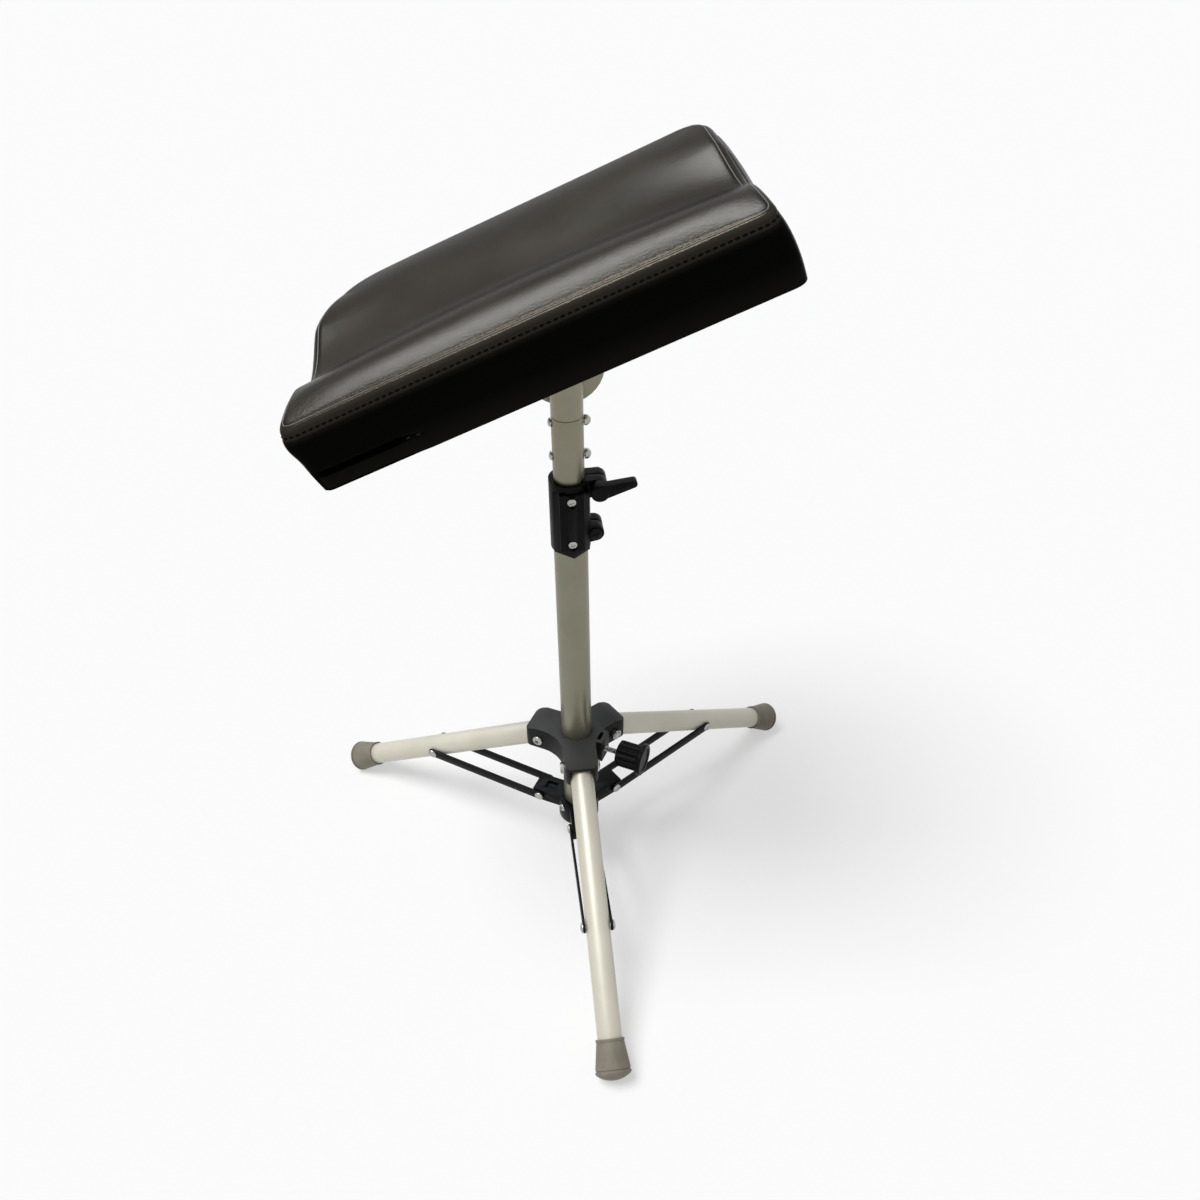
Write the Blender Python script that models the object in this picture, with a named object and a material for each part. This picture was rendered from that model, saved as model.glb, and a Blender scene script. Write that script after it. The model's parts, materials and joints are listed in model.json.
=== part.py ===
"""Pedicure footrest: a padded foot trough that tilts on a telescopic mast over a folding tripod.

Metres, +Z up. The floor is at z = 0 and the origin lies under the middle of the feet.
The front leg points along -Y and the pad runs along X, with its right end raised.
"""

import math

import bmesh
import bpy
from mathutils import Matrix

# Fits shared by all pieces
CLEARANCE = 0.0003
OVERCUT = 0.002

# Tubes
COLUMN_RADIUS = 0.0125
COLUMN_WALL = 0.0012
MAST_WALL = 0.0012
LEG_RADIUS = 0.0095
LEG_WALL = 0.0012

# Legs and feet
LEG_AZIMUTHS = {"front": -90, "right": 30, "left": 150}
LEG_SLOPE = math.radians(30)
LEG_TAIL = 0.004
LEG_LENGTH = 0.2338
FOOT_CUP = 0.0243
FOOT_MOUTH_WALL = 0.00095
FOOT_RIM_RADIUS = 0.01375
FOOT_GROOVE = 0.0005
FOOT_LIP = 0.0022
FOOT_DOME = 0.005
FOOT_SOLE = 0.0043
FOOT_FLAT = 0.0006

# Hub and its lock
HUB_WALL = 0.0044
HUB_CHEEK = 0.0037
HUB_ROOF = 0.0026
HUB_SKIRT = 0.0085
LEG_SWING_ROOM = 0.0025
ARM_OVERHANG = 0.012
ARM_CREASE = 0.003
ARM_FALL = math.radians(24)
ARM_CORNER = 0.005
ARM_HOLLOW = 0.040
PIVOT_BOLT_RADIUS = 0.0025
PIVOT_HEAD_RADIUS = 0.0046
PIVOT_HEAD_HEIGHT = 0.0024
PIVOT_NUT_RADIUS = 0.0048
PIVOT_NUT_HEIGHT = 0.0032
LOCK_AZIMUTH = math.radians(-30)
LOCK_BOSS_REACH = 0.026
LOCK_BOSS_WIDTH = 0.015
LOCK_SCREW_RADIUS = 0.0023
LOCK_NUT_SIDE = 0.008
LOCK_NUT_HEIGHT = 0.0024
LOCK_NUT_PLACE = 0.0205
LOCK_KNOB_PLACE = 0.038

# Knobs
KNOB_FLUTES = 12
KNOB_FLUTE_DEPTH = 0.0008
KNOB_BARREL_RADIUS = 0.0102
KNOB_BARREL_LENGTH = 0.019
KNOB_FLANGE_RADIUS = 0.0135
KNOB_FLANGE_HEIGHT = 0.0042
KNOB_ROUNDING = 0.0012
KNOB_THREAD_DEPTH = 0.013

# Braces and lower collar
BRACE_PIN_PLACE = 0.1274
BRACE_LENGTH = 0.1073
BRACE_WIDTH = 0.0085
BRACE_THICKNESS = 0.002
BRACE_PIN_RADIUS = 0.0022
RIVET_HEAD_RADIUS = 0.004
RIVET_HEAD_HEIGHT = 0.0018
COLLAR_PIVOT_RADIUS = 0.0336
COLLAR_ARM_TIP = 0.0065
COLLAR_ARM_ABOVE = 0.0055
COLLAR_ARM_BELOW = 0.0065
COLLAR_WALL = 0.0047
COLLAR_SOCKET = 0.013
COLLAR_LIP_WIDTH = 0.0035
COLLAR_LIP_HEIGHT = 0.0025
COLLAR_PIN_RADIUS = 0.0025
COLLAR_SCREW_AZIMUTH = math.radians(-150)
COLLAR_SCREW_RADIUS = 0.002
COLLAR_SCREW_HEAD = 0.0036
COLLAR_SCREW_HEAD_HEIGHT = 0.002
END_PLUG_LENGTH = 0.012

# Column, mast and glide bush
COLUMN_TOP = 0.376
MAST_HELD = 0.196
MAST_SHOWN = 0.064
BUSH_LENGTH = 0.018
BUSH_SPIGOT = 0.012
BUSH_BORE = 0.006

# Height clamp
CLAMP_WALL = 0.0017
CLAMP_BELOW = 0.042
CLAMP_ABOVE = 0.015
CLAMP_FRONT_WIDTH = 0.017
CLAMP_FRONT_STEP = 0.002
CLAMP_FRONT_MARGIN = 0.005
CLAMP_SLIT = 0.0015
EAR_THICKNESS = 0.0165
EAR_RADIUS = 0.0065
EAR_ROOT = 0.010
LEVER_OFFSET = 0.020
LEVER_DROP = 0.0055
EAR_SCREW_OFFSET = 0.017
EAR_SCREW_RISE = 0.013
LEVER_BOSS_RADIUS = 0.0065
LEVER_BOSS_HEIGHT = 0.009
LEVER_LENGTH = 0.0265
LEVER_ROOT_WIDTH = 0.0105
LEVER_TIP_WIDTH = 0.0055
LEVER_ARM_HEIGHT = 0.0065
LEVER_LIFT = math.radians(14)
LEVER_CAP = 0.002
STUD_RADIUS = 0.0025
STUD_NUT_RADIUS = 0.0048
STUD_NUT_HEIGHT = 0.004
FRONT_SCREW_RADIUS = 0.0018
FRONT_SCREW_HEAD = 0.0032
FRONT_SCREW_HEAD_HEIGHT = 0.0014
FRONT_SCREW_MARGIN = 0.0105

# Neck joint
SPIGOT_WALL = 0.002
SPIGOT_BELOW = 0.040
SPLICE_BOLT_DROPS = {"upper": 0.005, "lower": 0.031}
SPLICE_BOLT_RADIUS = 0.002
SPLICE_HEAD_RADIUS = 0.0033
SPLICE_HEAD_HEIGHT = 0.002
SPLICE_NUT_RADIUS = 0.0038
SPLICE_NUT_HEIGHT = 0.0046
SPLICE_NUT_ROOF = 0.001

# Tilt joint
TILT_ABOVE_NECK_SEAM = 0.028
TILT_ANGLE = math.radians(22)
NECK_ABOVE_TILT = 0.014
PLUG_BELOW_TILT = 0.016
PLUG_CAP_HEIGHT = 0.002
CHEEK_THICKNESS = 0.003
CHEEK_RADIUS = 0.027
FLANGE_THICKNESS = 0.003
FLANGE_LENGTH = 0.076
FLANGE_WIDTH = 0.064
FLANGE_SCREW_MARGIN = 0.009
TILT_STUD_RADIUS = 0.003
TILT_STUD_DEPTH = 0.007
TILT_WASHER_RADIUS = 0.0085
TILT_WASHER_HEIGHT = 0.0015
BOARD_SCREW_RADIUS = 0.002
BOARD_SCREW_DEPTH = 0.008
BOARD_SCREW_HEAD = 0.0038
BOARD_SCREW_HEAD_HEIGHT = 0.0018

# Pad
PAD_DROP = 0.0365
PAD_SHIFT = 0.002
PAD_TOP_LENGTH = 0.289
PAD_TOP_TAPER = 0.012
PAD_TOP_WIDTH = 0.168
PAD_BASE_LENGTH = 0.303
PAD_BASE_WIDTH = 0.168
PAD_NEAR_CORNER = 0.010
PAD_FAR_CORNER = 0.028
PAD_SEAM_HEIGHT = 0.048
PAD_RIDGE_HEIGHT = 0.051
PAD_RIDGE_OFFSET = 0.060
PAD_VALLEY_HEIGHT = 0.037
PAD_END_ROLL = 0.002
PAD_END_DRAW = 0.007
PAD_SIDE_DRAW = 0.0015
PAD_BULGE = 0.0025
PAD_HEM = 0.020
PAD_COLUMNS = 18
PAD_ROWS = 14
PAD_SIDE_STEPS = 4
COVER_THICKNESS = 0.0012
FOAM_EASE = 0.0008
BOARD_THICKNESS = 0.010
BOARD_INSET = 0.005

# Facets
TUBE_SIDES = 32
FITTING_SIDES = 24
BOLT_SIDES = 12
FOOT_SIDES = 28
ROUND_STEPS = 6

# Finishes: colour, roughness, metallic
PAINT = ((0.52, 0.49, 0.42), 0.42, 0.35)
BLACK_PLASTIC = ((0.030, 0.030, 0.030), 0.50, 0.0)
HUB_PLASTIC = ((0.045, 0.045, 0.043), 0.55, 0.0)
BLACK_STEEL = ((0.020, 0.020, 0.020), 0.40, 0.3)
BRIGHT_STEEL = ((0.70, 0.70, 0.68), 0.28, 1.0)
FOOT_RUBBER = ((0.19, 0.17, 0.14), 0.75, 0.0)
VINYL = ((0.022, 0.020, 0.017), 0.38, 0.0)
FOAM = ((0.75, 0.70, 0.55), 0.95, 0.0)
PLYWOOD = ((0.50, 0.36, 0.22), 0.75, 0.0)
WHITE_NYLON = ((0.72, 0.71, 0.67), 0.50, 0.0)

# Sizes that follow from the values above
mast_radius = COLUMN_RADIUS - COLUMN_WALL - CLEARANCE
mast_bore = mast_radius - MAST_WALL
column_hole = COLUMN_RADIUS + CLEARANCE
mast_hole = mast_radius + CLEARANCE
leg_slot = LEG_RADIUS + CLEARANCE
leg_swing = math.hypot(LEG_TAIL, LEG_RADIUS)
hub_ring = column_hole + HUB_WALL
pivot_radius = hub_ring + LEG_SWING_ROOM + leg_swing
pivot_height = LEG_LENGTH * math.sin(LEG_SLOPE) + FOOT_RIM_RADIUS * math.cos(LEG_SLOPE) - FOOT_FLAT
hub_ceiling = pivot_height + leg_swing + CLEARANCE
hub_top = hub_ceiling + HUB_ROOF
hub_bottom = pivot_height - HUB_SKIRT
arm_half = leg_slot + HUB_CHEEK
arm_reach = pivot_radius + ARM_OVERHANG
brace_pin_radius = pivot_radius + BRACE_PIN_PLACE * math.cos(LEG_SLOPE)
brace_pin_height = pivot_height - BRACE_PIN_PLACE * math.sin(LEG_SLOPE)
brace_rise = math.asin(math.sqrt(1 - ((brace_pin_radius - COLLAR_PIVOT_RADIUS) / BRACE_LENGTH) ** 2))
collar_height = brace_pin_height - BRACE_LENGTH * math.sin(brace_rise)
brace_inner = leg_slot
brace_outer = brace_inner + BRACE_THICKNESS
collar_half = brace_inner - CLEARANCE
column_bottom = collar_height - COLLAR_SOCKET
clamp_radius = column_hole + CLAMP_WALL
clamp_bottom = COLUMN_TOP - CLAMP_BELOW
clamp_top = COLUMN_TOP + CLAMP_ABOVE
clamp_front = clamp_radius + CLAMP_FRONT_STEP
lever_height = clamp_top - LEVER_DROP
ear_screw_height = clamp_bottom + EAR_SCREW_RISE
mast_bottom = COLUMN_TOP - MAST_HELD
mast_top = COLUMN_TOP + MAST_SHOWN
tilt_height = mast_top + TILT_ABOVE_NECK_SEAM
neck_bottom = mast_top + CLEARANCE
neck_top = tilt_height + NECK_ABOVE_TILT
plug_bottom = tilt_height - PLUG_BELOW_TILT
spigot_radius = mast_bore - CLEARANCE
cheek_inner = mast_radius + CLEARANCE
cheek_outer = cheek_inner + CHEEK_THICKNESS
board_bottom = PAD_DROP + COVER_THICKNESS + CLEARANCE
flange_top = board_bottom - CLEARANCE
flange_bottom = flange_top - FLANGE_THICKNESS
washer_place = cheek_outer + CLEARANCE
tilt_knob_place = washer_place + TILT_WASHER_HEIGHT + CLEARANCE

TO_X = Matrix.Rotation(math.radians(90), 4, "Y")
TO_Y = Matrix.Rotation(math.radians(-90), 4, "X")
UPRIGHT = Matrix.Rotation(math.radians(90), 4, "X")


# Shapes


def arc(centre, radius, start, end, steps):
    """Points along an arc, both ends included."""
    turns = [start + (end - start) * step / steps for step in range(steps + 1)]
    return [(centre[0] + radius * math.cos(t), centre[1] + radius * math.sin(t)) for t in turns]


def turned(profile, sides, closed=False):
    """A solid turned about Z from (radius, height) points. A closed profile leaves the axis open."""
    bm = bmesh.new()
    points = [bm.verts.new((radius, 0, height)) for radius, height in profile]
    pairs = list(zip(points, points[1:]))
    if closed:
        pairs.append((points[-1], points[0]))
    edges = [bm.edges.new(pair) for pair in pairs]
    bmesh.ops.spin(
        bm,
        geom=points + edges,
        axis=(0, 0, 1),
        cent=(0, 0, 0),
        steps=sides,
        angle=2 * math.pi,
        use_merge=True,
    )
    bmesh.ops.remove_doubles(bm, verts=bm.verts, dist=1e-6)
    bmesh.ops.recalc_face_normals(bm, faces=bm.faces)
    return bm


def tube(outer, inner, low, high, sides=TUBE_SIDES):
    return turned([(outer, high), (outer, low), (inner, low), (inner, high)], sides, closed=True)


def rod(radius, low, high, sides=BOLT_SIDES):
    return turned([(0, high), (radius, high), (radius, low), (0, low)], sides)


def domed_bolt(shank, low, high, head, head_height):
    """A bolt along Z: shank from low to high, domed head above it."""
    dome = [(head * math.cos(t), high + head_height * math.sin(t)) for t in (0.0, 0.6, 1.1)]
    profile = [(0, high + head_height)] + dome[::-1] + [(shank, high), (shank, low), (0, low)]
    return turned(profile, BOLT_SIDES)


def ring_of(bm, reach, height):
    """A loop of vertices about Z at this height, one for each reach."""
    turns = [2 * math.pi * i / len(reach) for i in range(len(reach))]
    return [bm.verts.new((r * math.cos(t), r * math.sin(t), height)) for r, t in zip(reach, turns)]


def hexagon(radius, hole, low, high):
    """A hexagon nut about Z with a round hole."""
    corners_and_flats = [radius, radius * math.cos(math.pi / 6)] * (BOLT_SIDES // 2)
    bore = [hole] * BOLT_SIDES
    bm = bmesh.new()
    loops = [ring_of(bm, corners_and_flats, low), ring_of(bm, corners_and_flats, high)]
    loops += [ring_of(bm, bore, high), ring_of(bm, bore, low)]
    for upper, lower in zip(loops, loops[1:] + loops[:1]):
        bridge(bm, upper, lower)
    bmesh.ops.recalc_face_normals(bm, faces=bm.faces)
    return bm


def extruded(outline, low, high):
    """A solid of this outline in X and Y, from low to high."""
    bm = bmesh.new()
    base = bm.faces.new([bm.verts.new((x, y, low)) for x, y in outline])
    raised = bmesh.ops.extrude_face_region(bm, geom=[base])["geom"]
    lifted = [item for item in raised if isinstance(item, bmesh.types.BMVert)]
    bmesh.ops.translate(bm, verts=lifted, vec=(0, 0, high - low))
    bmesh.ops.recalc_face_normals(bm, faces=bm.faces)
    return bm


def block(low, high):
    """A box between two corners."""
    outline = [(low[0], low[1]), (high[0], low[1]), (high[0], high[1]), (low[0], high[1])]
    return extruded(outline, low[2], high[2])


def standing(outline, near, far):
    """A solid of this outline in X and Z, from near to far along Y."""
    return moved(extruded(outline, -far, -near), UPRIGHT)


def moved(bm, matrix):
    bmesh.ops.transform(bm, matrix=matrix, verts=bm.verts)
    return bm


def bridge(bm, upper, lower):
    """Joins two loops of as many vertices with faces."""
    count = len(upper)
    for i in range(count):
        j = (i + 1) % count
        bm.faces.new((upper[i], upper[j], lower[j], lower[i]))


# Objects


def finish(name, look):
    colour, roughness, metallic = look
    material = bpy.data.materials.new(name + "_finish")
    material.use_nodes = True
    shader = material.node_tree.nodes["Principled BSDF"]
    shader.inputs["Base Color"].default_value = (*colour, 1)
    shader.inputs["Roughness"].default_value = roughness
    shader.inputs["Metallic"].default_value = metallic
    material.diffuse_color = (*colour, 1)
    return material


def mesh_from(name, bm):
    mesh = bpy.data.meshes.new(name)
    bm.to_mesh(mesh)
    bm.free()
    return mesh


def place(name, data, parent, spot=(0, 0, 0), turn=(0, 0, 0)):
    piece = bpy.data.objects.new(name, data)
    bpy.context.scene.collection.objects.link(piece)
    piece.parent = parent
    piece.location = spot
    piece.rotation_euler = turn
    return piece


def piece_of(name, bm, look, parent):
    mesh = mesh_from(name, bm)
    mesh.shade_smooth()
    mesh.set_sharp_from_angle(angle=math.radians(35))
    mesh.materials.append(finish(name, look))
    return place(name, mesh, parent)


def combine(piece, bm, operation):
    """Joins a helper solid to the piece, or cuts it out, in the piece's own coordinates."""
    name = f"{piece.name}_{operation.lower()}_{len(piece.modifiers)}"
    helper = place(name, mesh_from(name, bm), piece)
    helper.hide_render = True
    helper.display_type = "WIRE"
    boolean = piece.modifiers.new(name, "BOOLEAN")
    boolean.operation = operation
    boolean.solver = "EXACT"
    boolean.object = helper


def join(piece, bm):
    combine(piece, bm, "UNION")


def cut(piece, bm):
    combine(piece, bm, "DIFFERENCE")


def leg_frame(azimuth):
    """From leg coordinates, with X down the leg from its pivot and Y across it, to the stand's."""
    side = Matrix.Rotation(azimuth, 4, "Z")
    return side @ Matrix.Translation((pivot_radius, 0, pivot_height)) @ Matrix.Rotation(LEG_SLOPE, 4, "Y")


# Legs, feet and braces


def make_leg_tube(side, parent):
    foot_end = LEG_LENGTH - FOOT_SOLE
    plain = tube(LEG_RADIUS, LEG_RADIUS - LEG_WALL, -LEG_TAIL, foot_end)
    leg = piece_of(f"leg_tube_{side}", moved(plain, TO_X), PAINT, parent)
    reach = LEG_RADIUS + OVERCUT
    cut(leg, moved(rod(PIVOT_BOLT_RADIUS + CLEARANCE, -reach, reach), TO_Y))
    pin_hole = moved(rod(BRACE_PIN_RADIUS + CLEARANCE, -reach, reach), TO_Y)
    cut(leg, moved(pin_hole, Matrix.Translation((BRACE_PIN_PLACE, 0, 0))))


def foot_profile():
    """The rubber cup from the middle of its dome, round the outside and down into its socket."""
    socket = LEG_RADIUS + CLEARANCE
    socket_end = LEG_LENGTH - FOOT_SOLE + CLEARANCE
    mouth = LEG_LENGTH - FOOT_CUP
    mouth_radius = socket + FOOT_MOUTH_WALL
    lip = LEG_LENGTH - FOOT_LIP
    flare = mouth_radius + (FOOT_RIM_RADIUS - mouth_radius) * (lip - mouth) / FOOT_CUP
    cap_radius = (FOOT_RIM_RADIUS**2 + FOOT_DOME**2) / (2 * FOOT_DOME)
    cap_centre = LEG_LENGTH + FOOT_DOME - cap_radius
    spread = math.asin(FOOT_RIM_RADIUS / cap_radius)
    turns = [spread * step / 4 for step in range(1, 4)]
    dome = [(cap_radius * math.sin(t), cap_centre + cap_radius * math.cos(t)) for t in turns]
    profile = [(0, LEG_LENGTH + FOOT_DOME)] + dome + [(FOOT_RIM_RADIUS, LEG_LENGTH)]
    profile += [(flare + FOOT_GROOVE, lip), (flare - FOOT_GROOVE, lip - FOOT_GROOVE)]
    profile += [(flare, lip - 2 * FOOT_GROOVE), (mouth_radius, mouth)]
    return profile + [(socket, mouth), (socket, socket_end), (0, socket_end)]


def make_foot(side, azimuth, parent):
    foot = piece_of(f"foot_{side}", moved(turned(foot_profile(), FOOT_SIDES), TO_X), FOOT_RUBBER, parent)
    reach = pivot_radius + LEG_LENGTH + FOOT_DOME
    width = 2 * FOOT_RIM_RADIUS
    floor = block((0, -width, -width), (reach + width, width, 0))
    to_stand = leg_frame(azimuth)
    moved(floor, to_stand.inverted() @ Matrix.Rotation(azimuth, 4, "Z"))
    cut(foot, floor)
    return foot


def rivet(inner, head, head_height):
    """A rivet across a leg: its shank spans both bars, with a domed head at each end."""
    half = brace_outer + CLEARANCE
    dome = [(head * math.cos(t), half + head_height * math.sin(t)) for t in (0.0, 0.6, 1.1)]
    upper = [(0, half + head_height)] + dome[::-1] + [(inner, half)]
    lower = [(radius, -height) for radius, height in reversed(upper)]
    return moved(turned(upper + lower, BOLT_SIDES), TO_Y)


def make_brace_pin(side, parent):
    pin = rivet(BRACE_PIN_RADIUS, RIVET_HEAD_RADIUS, RIVET_HEAD_HEIGHT)
    moved(pin, Matrix.Translation((BRACE_PIN_PLACE, 0, 0)))
    piece_of(f"brace_pin_{side}", pin, BRIGHT_STEEL, parent)


def make_brace_bars(side, parent):
    """Two flat bars from the leg's pin to the collar, each with its own rivet head at the collar end."""
    half = BRACE_WIDTH / 2
    outline = arc((0, 0), half, math.radians(90), math.radians(270), ROUND_STEPS)
    outline += arc((BRACE_LENGTH, 0), half, math.radians(-90), math.radians(90), ROUND_STEPS)
    middle = BRACE_THICKNESS / 2
    head = domed_bolt(RIVET_HEAD_RADIUS, 0, middle, RIVET_HEAD_RADIUS, RIVET_HEAD_HEIGHT)
    for hand, sign in (("a", 1), ("b", -1)):
        near, far = sorted((sign * brace_inner, sign * brace_outer))
        bar = piece_of(f"brace_bar_{side}_{hand}", standing(outline, near, far), BLACK_STEEL, parent)
        cut(bar, moved(rod(BRACE_PIN_RADIUS + CLEARANCE, near - OVERCUT, far + OVERCUT), TO_Y))
        at_collar = Matrix.Translation((BRACE_LENGTH, sign * (brace_inner + middle), 0))
        facing_out = Matrix.Rotation(math.radians(-90) * sign, 4, "X")
        join(bar, moved(head.copy(), at_collar @ facing_out))
    head.free()


def make_legs(stand):
    feet = []
    for side, degrees in LEG_AZIMUTHS.items():
        azimuth = math.radians(degrees)
        spot = leg_frame(azimuth).to_translation()
        leg_axis = place(f"leg_axis_{side}", None, stand, spot, (0, LEG_SLOPE, azimuth))
        make_leg_tube(side, leg_axis)
        feet.append(make_foot(side, azimuth, leg_axis))
        make_brace_pin(side, leg_axis)
        inward = math.pi - brace_rise - LEG_SLOPE
        brace_axis = place(f"brace_axis_{side}", None, leg_axis, (BRACE_PIN_PLACE, 0, 0), (0, inward, 0))
        make_brace_bars(side, brace_axis)
    return feet


# Hub


def hub_outline():
    """Three arms with rounded ends and a hollow between each pair, which stops short of the bolt heads."""
    sixty = math.radians(60)
    seat_start = pivot_radius - max(PIVOT_HEAD_RADIUS, PIVOT_NUT_RADIUS) - CLEARANCE
    widest = 2 * seat_start * math.sin(sixty) - arm_half
    hollow = min(ARM_HOLLOW, widest)
    centre_distance = (arm_half + hollow) / math.sin(sixty)
    corner = min(ARM_CORNER, arm_half)
    outline = []
    for degrees in sorted(LEG_AZIMUTHS.values()):
        azimuth = math.radians(degrees)
        along, across = arm_reach - corner, arm_half - corner
        end = arc((along, -across), corner, math.radians(-90), 0, ROUND_STEPS)
        end += arc((along, across), corner, 0, math.radians(90), ROUND_STEPS)
        outline += [rotated(point, azimuth) for point in end]
        middle = rotated((centre_distance, 0), azimuth + sixty)
        start = azimuth - math.radians(90)
        outline += arc(middle, hollow, start, start - sixty, 2 * ROUND_STEPS)
    return outline


def rotated(point, turn):
    x, y = point
    return (x * math.cos(turn) - y * math.sin(turn), x * math.sin(turn) + y * math.cos(turn))


def arm_profiles():
    """Side views of the leg's slot and of what the sloping roof end takes off, as (radius, height)."""
    crease = pivot_radius + ARM_CREASE
    far = arm_reach + OVERCUT
    fall = (far - crease) * math.tan(ARM_FALL)
    low = hub_bottom - OVERCUT
    high = hub_top + OVERCUT
    slot = [(hub_ring, low), (far, low), (far, hub_ceiling - fall)]
    slot += [(crease, hub_ceiling), (hub_ring, hub_ceiling)]
    roof = [(crease, hub_top), (far, hub_top - fall), (far, high), (crease, high)]
    return slot, roof


def make_hub(stand):
    hub = piece_of("hub", extruded(hub_outline(), hub_bottom, hub_top), HUB_PLASTIC, stand)
    at_lock = Matrix.Rotation(LOCK_AZIMUTH, 4, "Z")
    half = LOCK_BOSS_WIDTH / 2
    boss = block((column_hole, -half, hub_bottom), (LOCK_BOSS_REACH, half, hub_top))
    join(hub, moved(boss, at_lock))
    cut(hub, rod(column_hole, hub_bottom - OVERCUT, hub_top + OVERCUT, TUBE_SIDES))
    slot, roof = arm_profiles()
    for degrees in LEG_AZIMUTHS.values():
        to_arm = Matrix.Rotation(math.radians(degrees), 4, "Z")
        cut(hub, moved(standing(slot, -leg_slot, leg_slot), to_arm))
        wide = arm_half + OVERCUT
        cut(hub, moved(standing(roof, -wide, wide), to_arm))
        hole = moved(rod(PIVOT_BOLT_RADIUS + CLEARANCE, -wide, wide), TO_Y)
        cut(hub, moved(hole, to_arm @ Matrix.Translation((pivot_radius, 0, pivot_height))))
    nut_half = LOCK_NUT_SIDE / 2 + CLEARANCE
    nut_low = LOCK_NUT_PLACE - CLEARANCE
    nut_high = LOCK_NUT_PLACE + LOCK_NUT_HEIGHT + CLEARANCE
    pocket = block((nut_low, -nut_half, pivot_height - nut_half), (nut_high, nut_half, hub_top + OVERCUT))
    cut(hub, moved(pocket, at_lock))
    screw_hole = moved(rod(LOCK_SCREW_RADIUS + CLEARANCE, 0, LOCK_BOSS_REACH + OVERCUT), TO_X)
    cut(hub, moved(screw_hole, at_lock @ Matrix.Translation((0, 0, pivot_height))))


def make_pivot_bolts(stand):
    seat = arm_half + CLEARANCE
    for side, degrees in LEG_AZIMUTHS.items():
        to_arm = Matrix.Rotation(math.radians(degrees), 4, "Z")
        at_pivot = to_arm @ Matrix.Translation((pivot_radius, 0, pivot_height))
        tail = seat + PIVOT_NUT_HEIGHT
        bolt = domed_bolt(PIVOT_BOLT_RADIUS, -tail, seat, PIVOT_HEAD_RADIUS, PIVOT_HEAD_HEIGHT)
        nut = hexagon(PIVOT_NUT_RADIUS, PIVOT_BOLT_RADIUS + CLEARANCE, -tail, -seat)
        piece_of(f"pivot_bolt_{side}", moved(bolt, at_pivot @ TO_Y), BRIGHT_STEEL, stand)
        piece_of(f"pivot_nut_{side}", moved(nut, at_pivot @ TO_Y), BRIGHT_STEEL, stand)


def fluted_knob(screw_radius, start):
    """A fluted barrel along Z from start, with a round outer flange and a blind threaded hole."""
    count = 3 * KNOB_FLUTES
    barrel_end = start + KNOB_BARREL_LENGTH
    flange_end = barrel_end + KNOB_FLANGE_HEIGHT
    hole = screw_radius + CLEARANCE
    hole_end = start + KNOB_THREAD_DEPTH
    rounded_edge = KNOB_FLANGE_RADIUS - KNOB_ROUNDING
    rings = (
        (hole, 0, hole_end),
        (hole, 0, start),
        (KNOB_BARREL_RADIUS, KNOB_FLUTE_DEPTH, start),
        (KNOB_BARREL_RADIUS, KNOB_FLUTE_DEPTH, barrel_end),
        (KNOB_FLANGE_RADIUS, 0, barrel_end),
        (KNOB_FLANGE_RADIUS, 0, flange_end - KNOB_ROUNDING),
        (rounded_edge, 0, flange_end),
    )
    bm = bmesh.new()
    waves = [math.cos(2 * math.pi * KNOB_FLUTES * i / count) for i in range(count)]
    loops = []
    for radius, depth, height in rings:
        loops.append(ring_of(bm, [radius + depth * wave for wave in waves], height))
    for upper, lower in zip(loops, loops[1:]):
        bridge(bm, upper, lower)
    bm.faces.new(loops[0])
    bm.faces.new(loops[-1])
    bmesh.ops.recalc_face_normals(bm, faces=bm.faces)
    return bm


def make_hub_lock(stand):
    outward_turn = (0, math.radians(90), LOCK_AZIMUTH)
    lock_axis = place("hub_lock_axis", None, stand, (0, 0, pivot_height), outward_turn)
    nut_seat = place("hub_lock_nut_seat", None, stand, (0, 0, pivot_height), outward_turn)
    nut_half = LOCK_NUT_SIDE / 2
    nut_end = LOCK_NUT_PLACE + LOCK_NUT_HEIGHT
    nut = block((-nut_half, -nut_half, LOCK_NUT_PLACE), (nut_half, nut_half, nut_end))
    lock_nut = piece_of("hub_lock_nut", nut, BRIGHT_STEEL, nut_seat)
    cut(lock_nut, rod(LOCK_SCREW_RADIUS + CLEARANCE, LOCK_NUT_PLACE - OVERCUT, nut_end + OVERCUT))
    piece_of("hub_lock_knob", fluted_knob(LOCK_SCREW_RADIUS, LOCK_KNOB_PLACE), BLACK_PLASTIC, lock_axis)
    screw_end = LOCK_KNOB_PLACE + KNOB_THREAD_DEPTH - CLEARANCE
    piece_of("hub_lock_screw", rod(LOCK_SCREW_RADIUS, column_hole, screw_end), BRIGHT_STEEL, lock_axis)


# Column and lower collar


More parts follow.
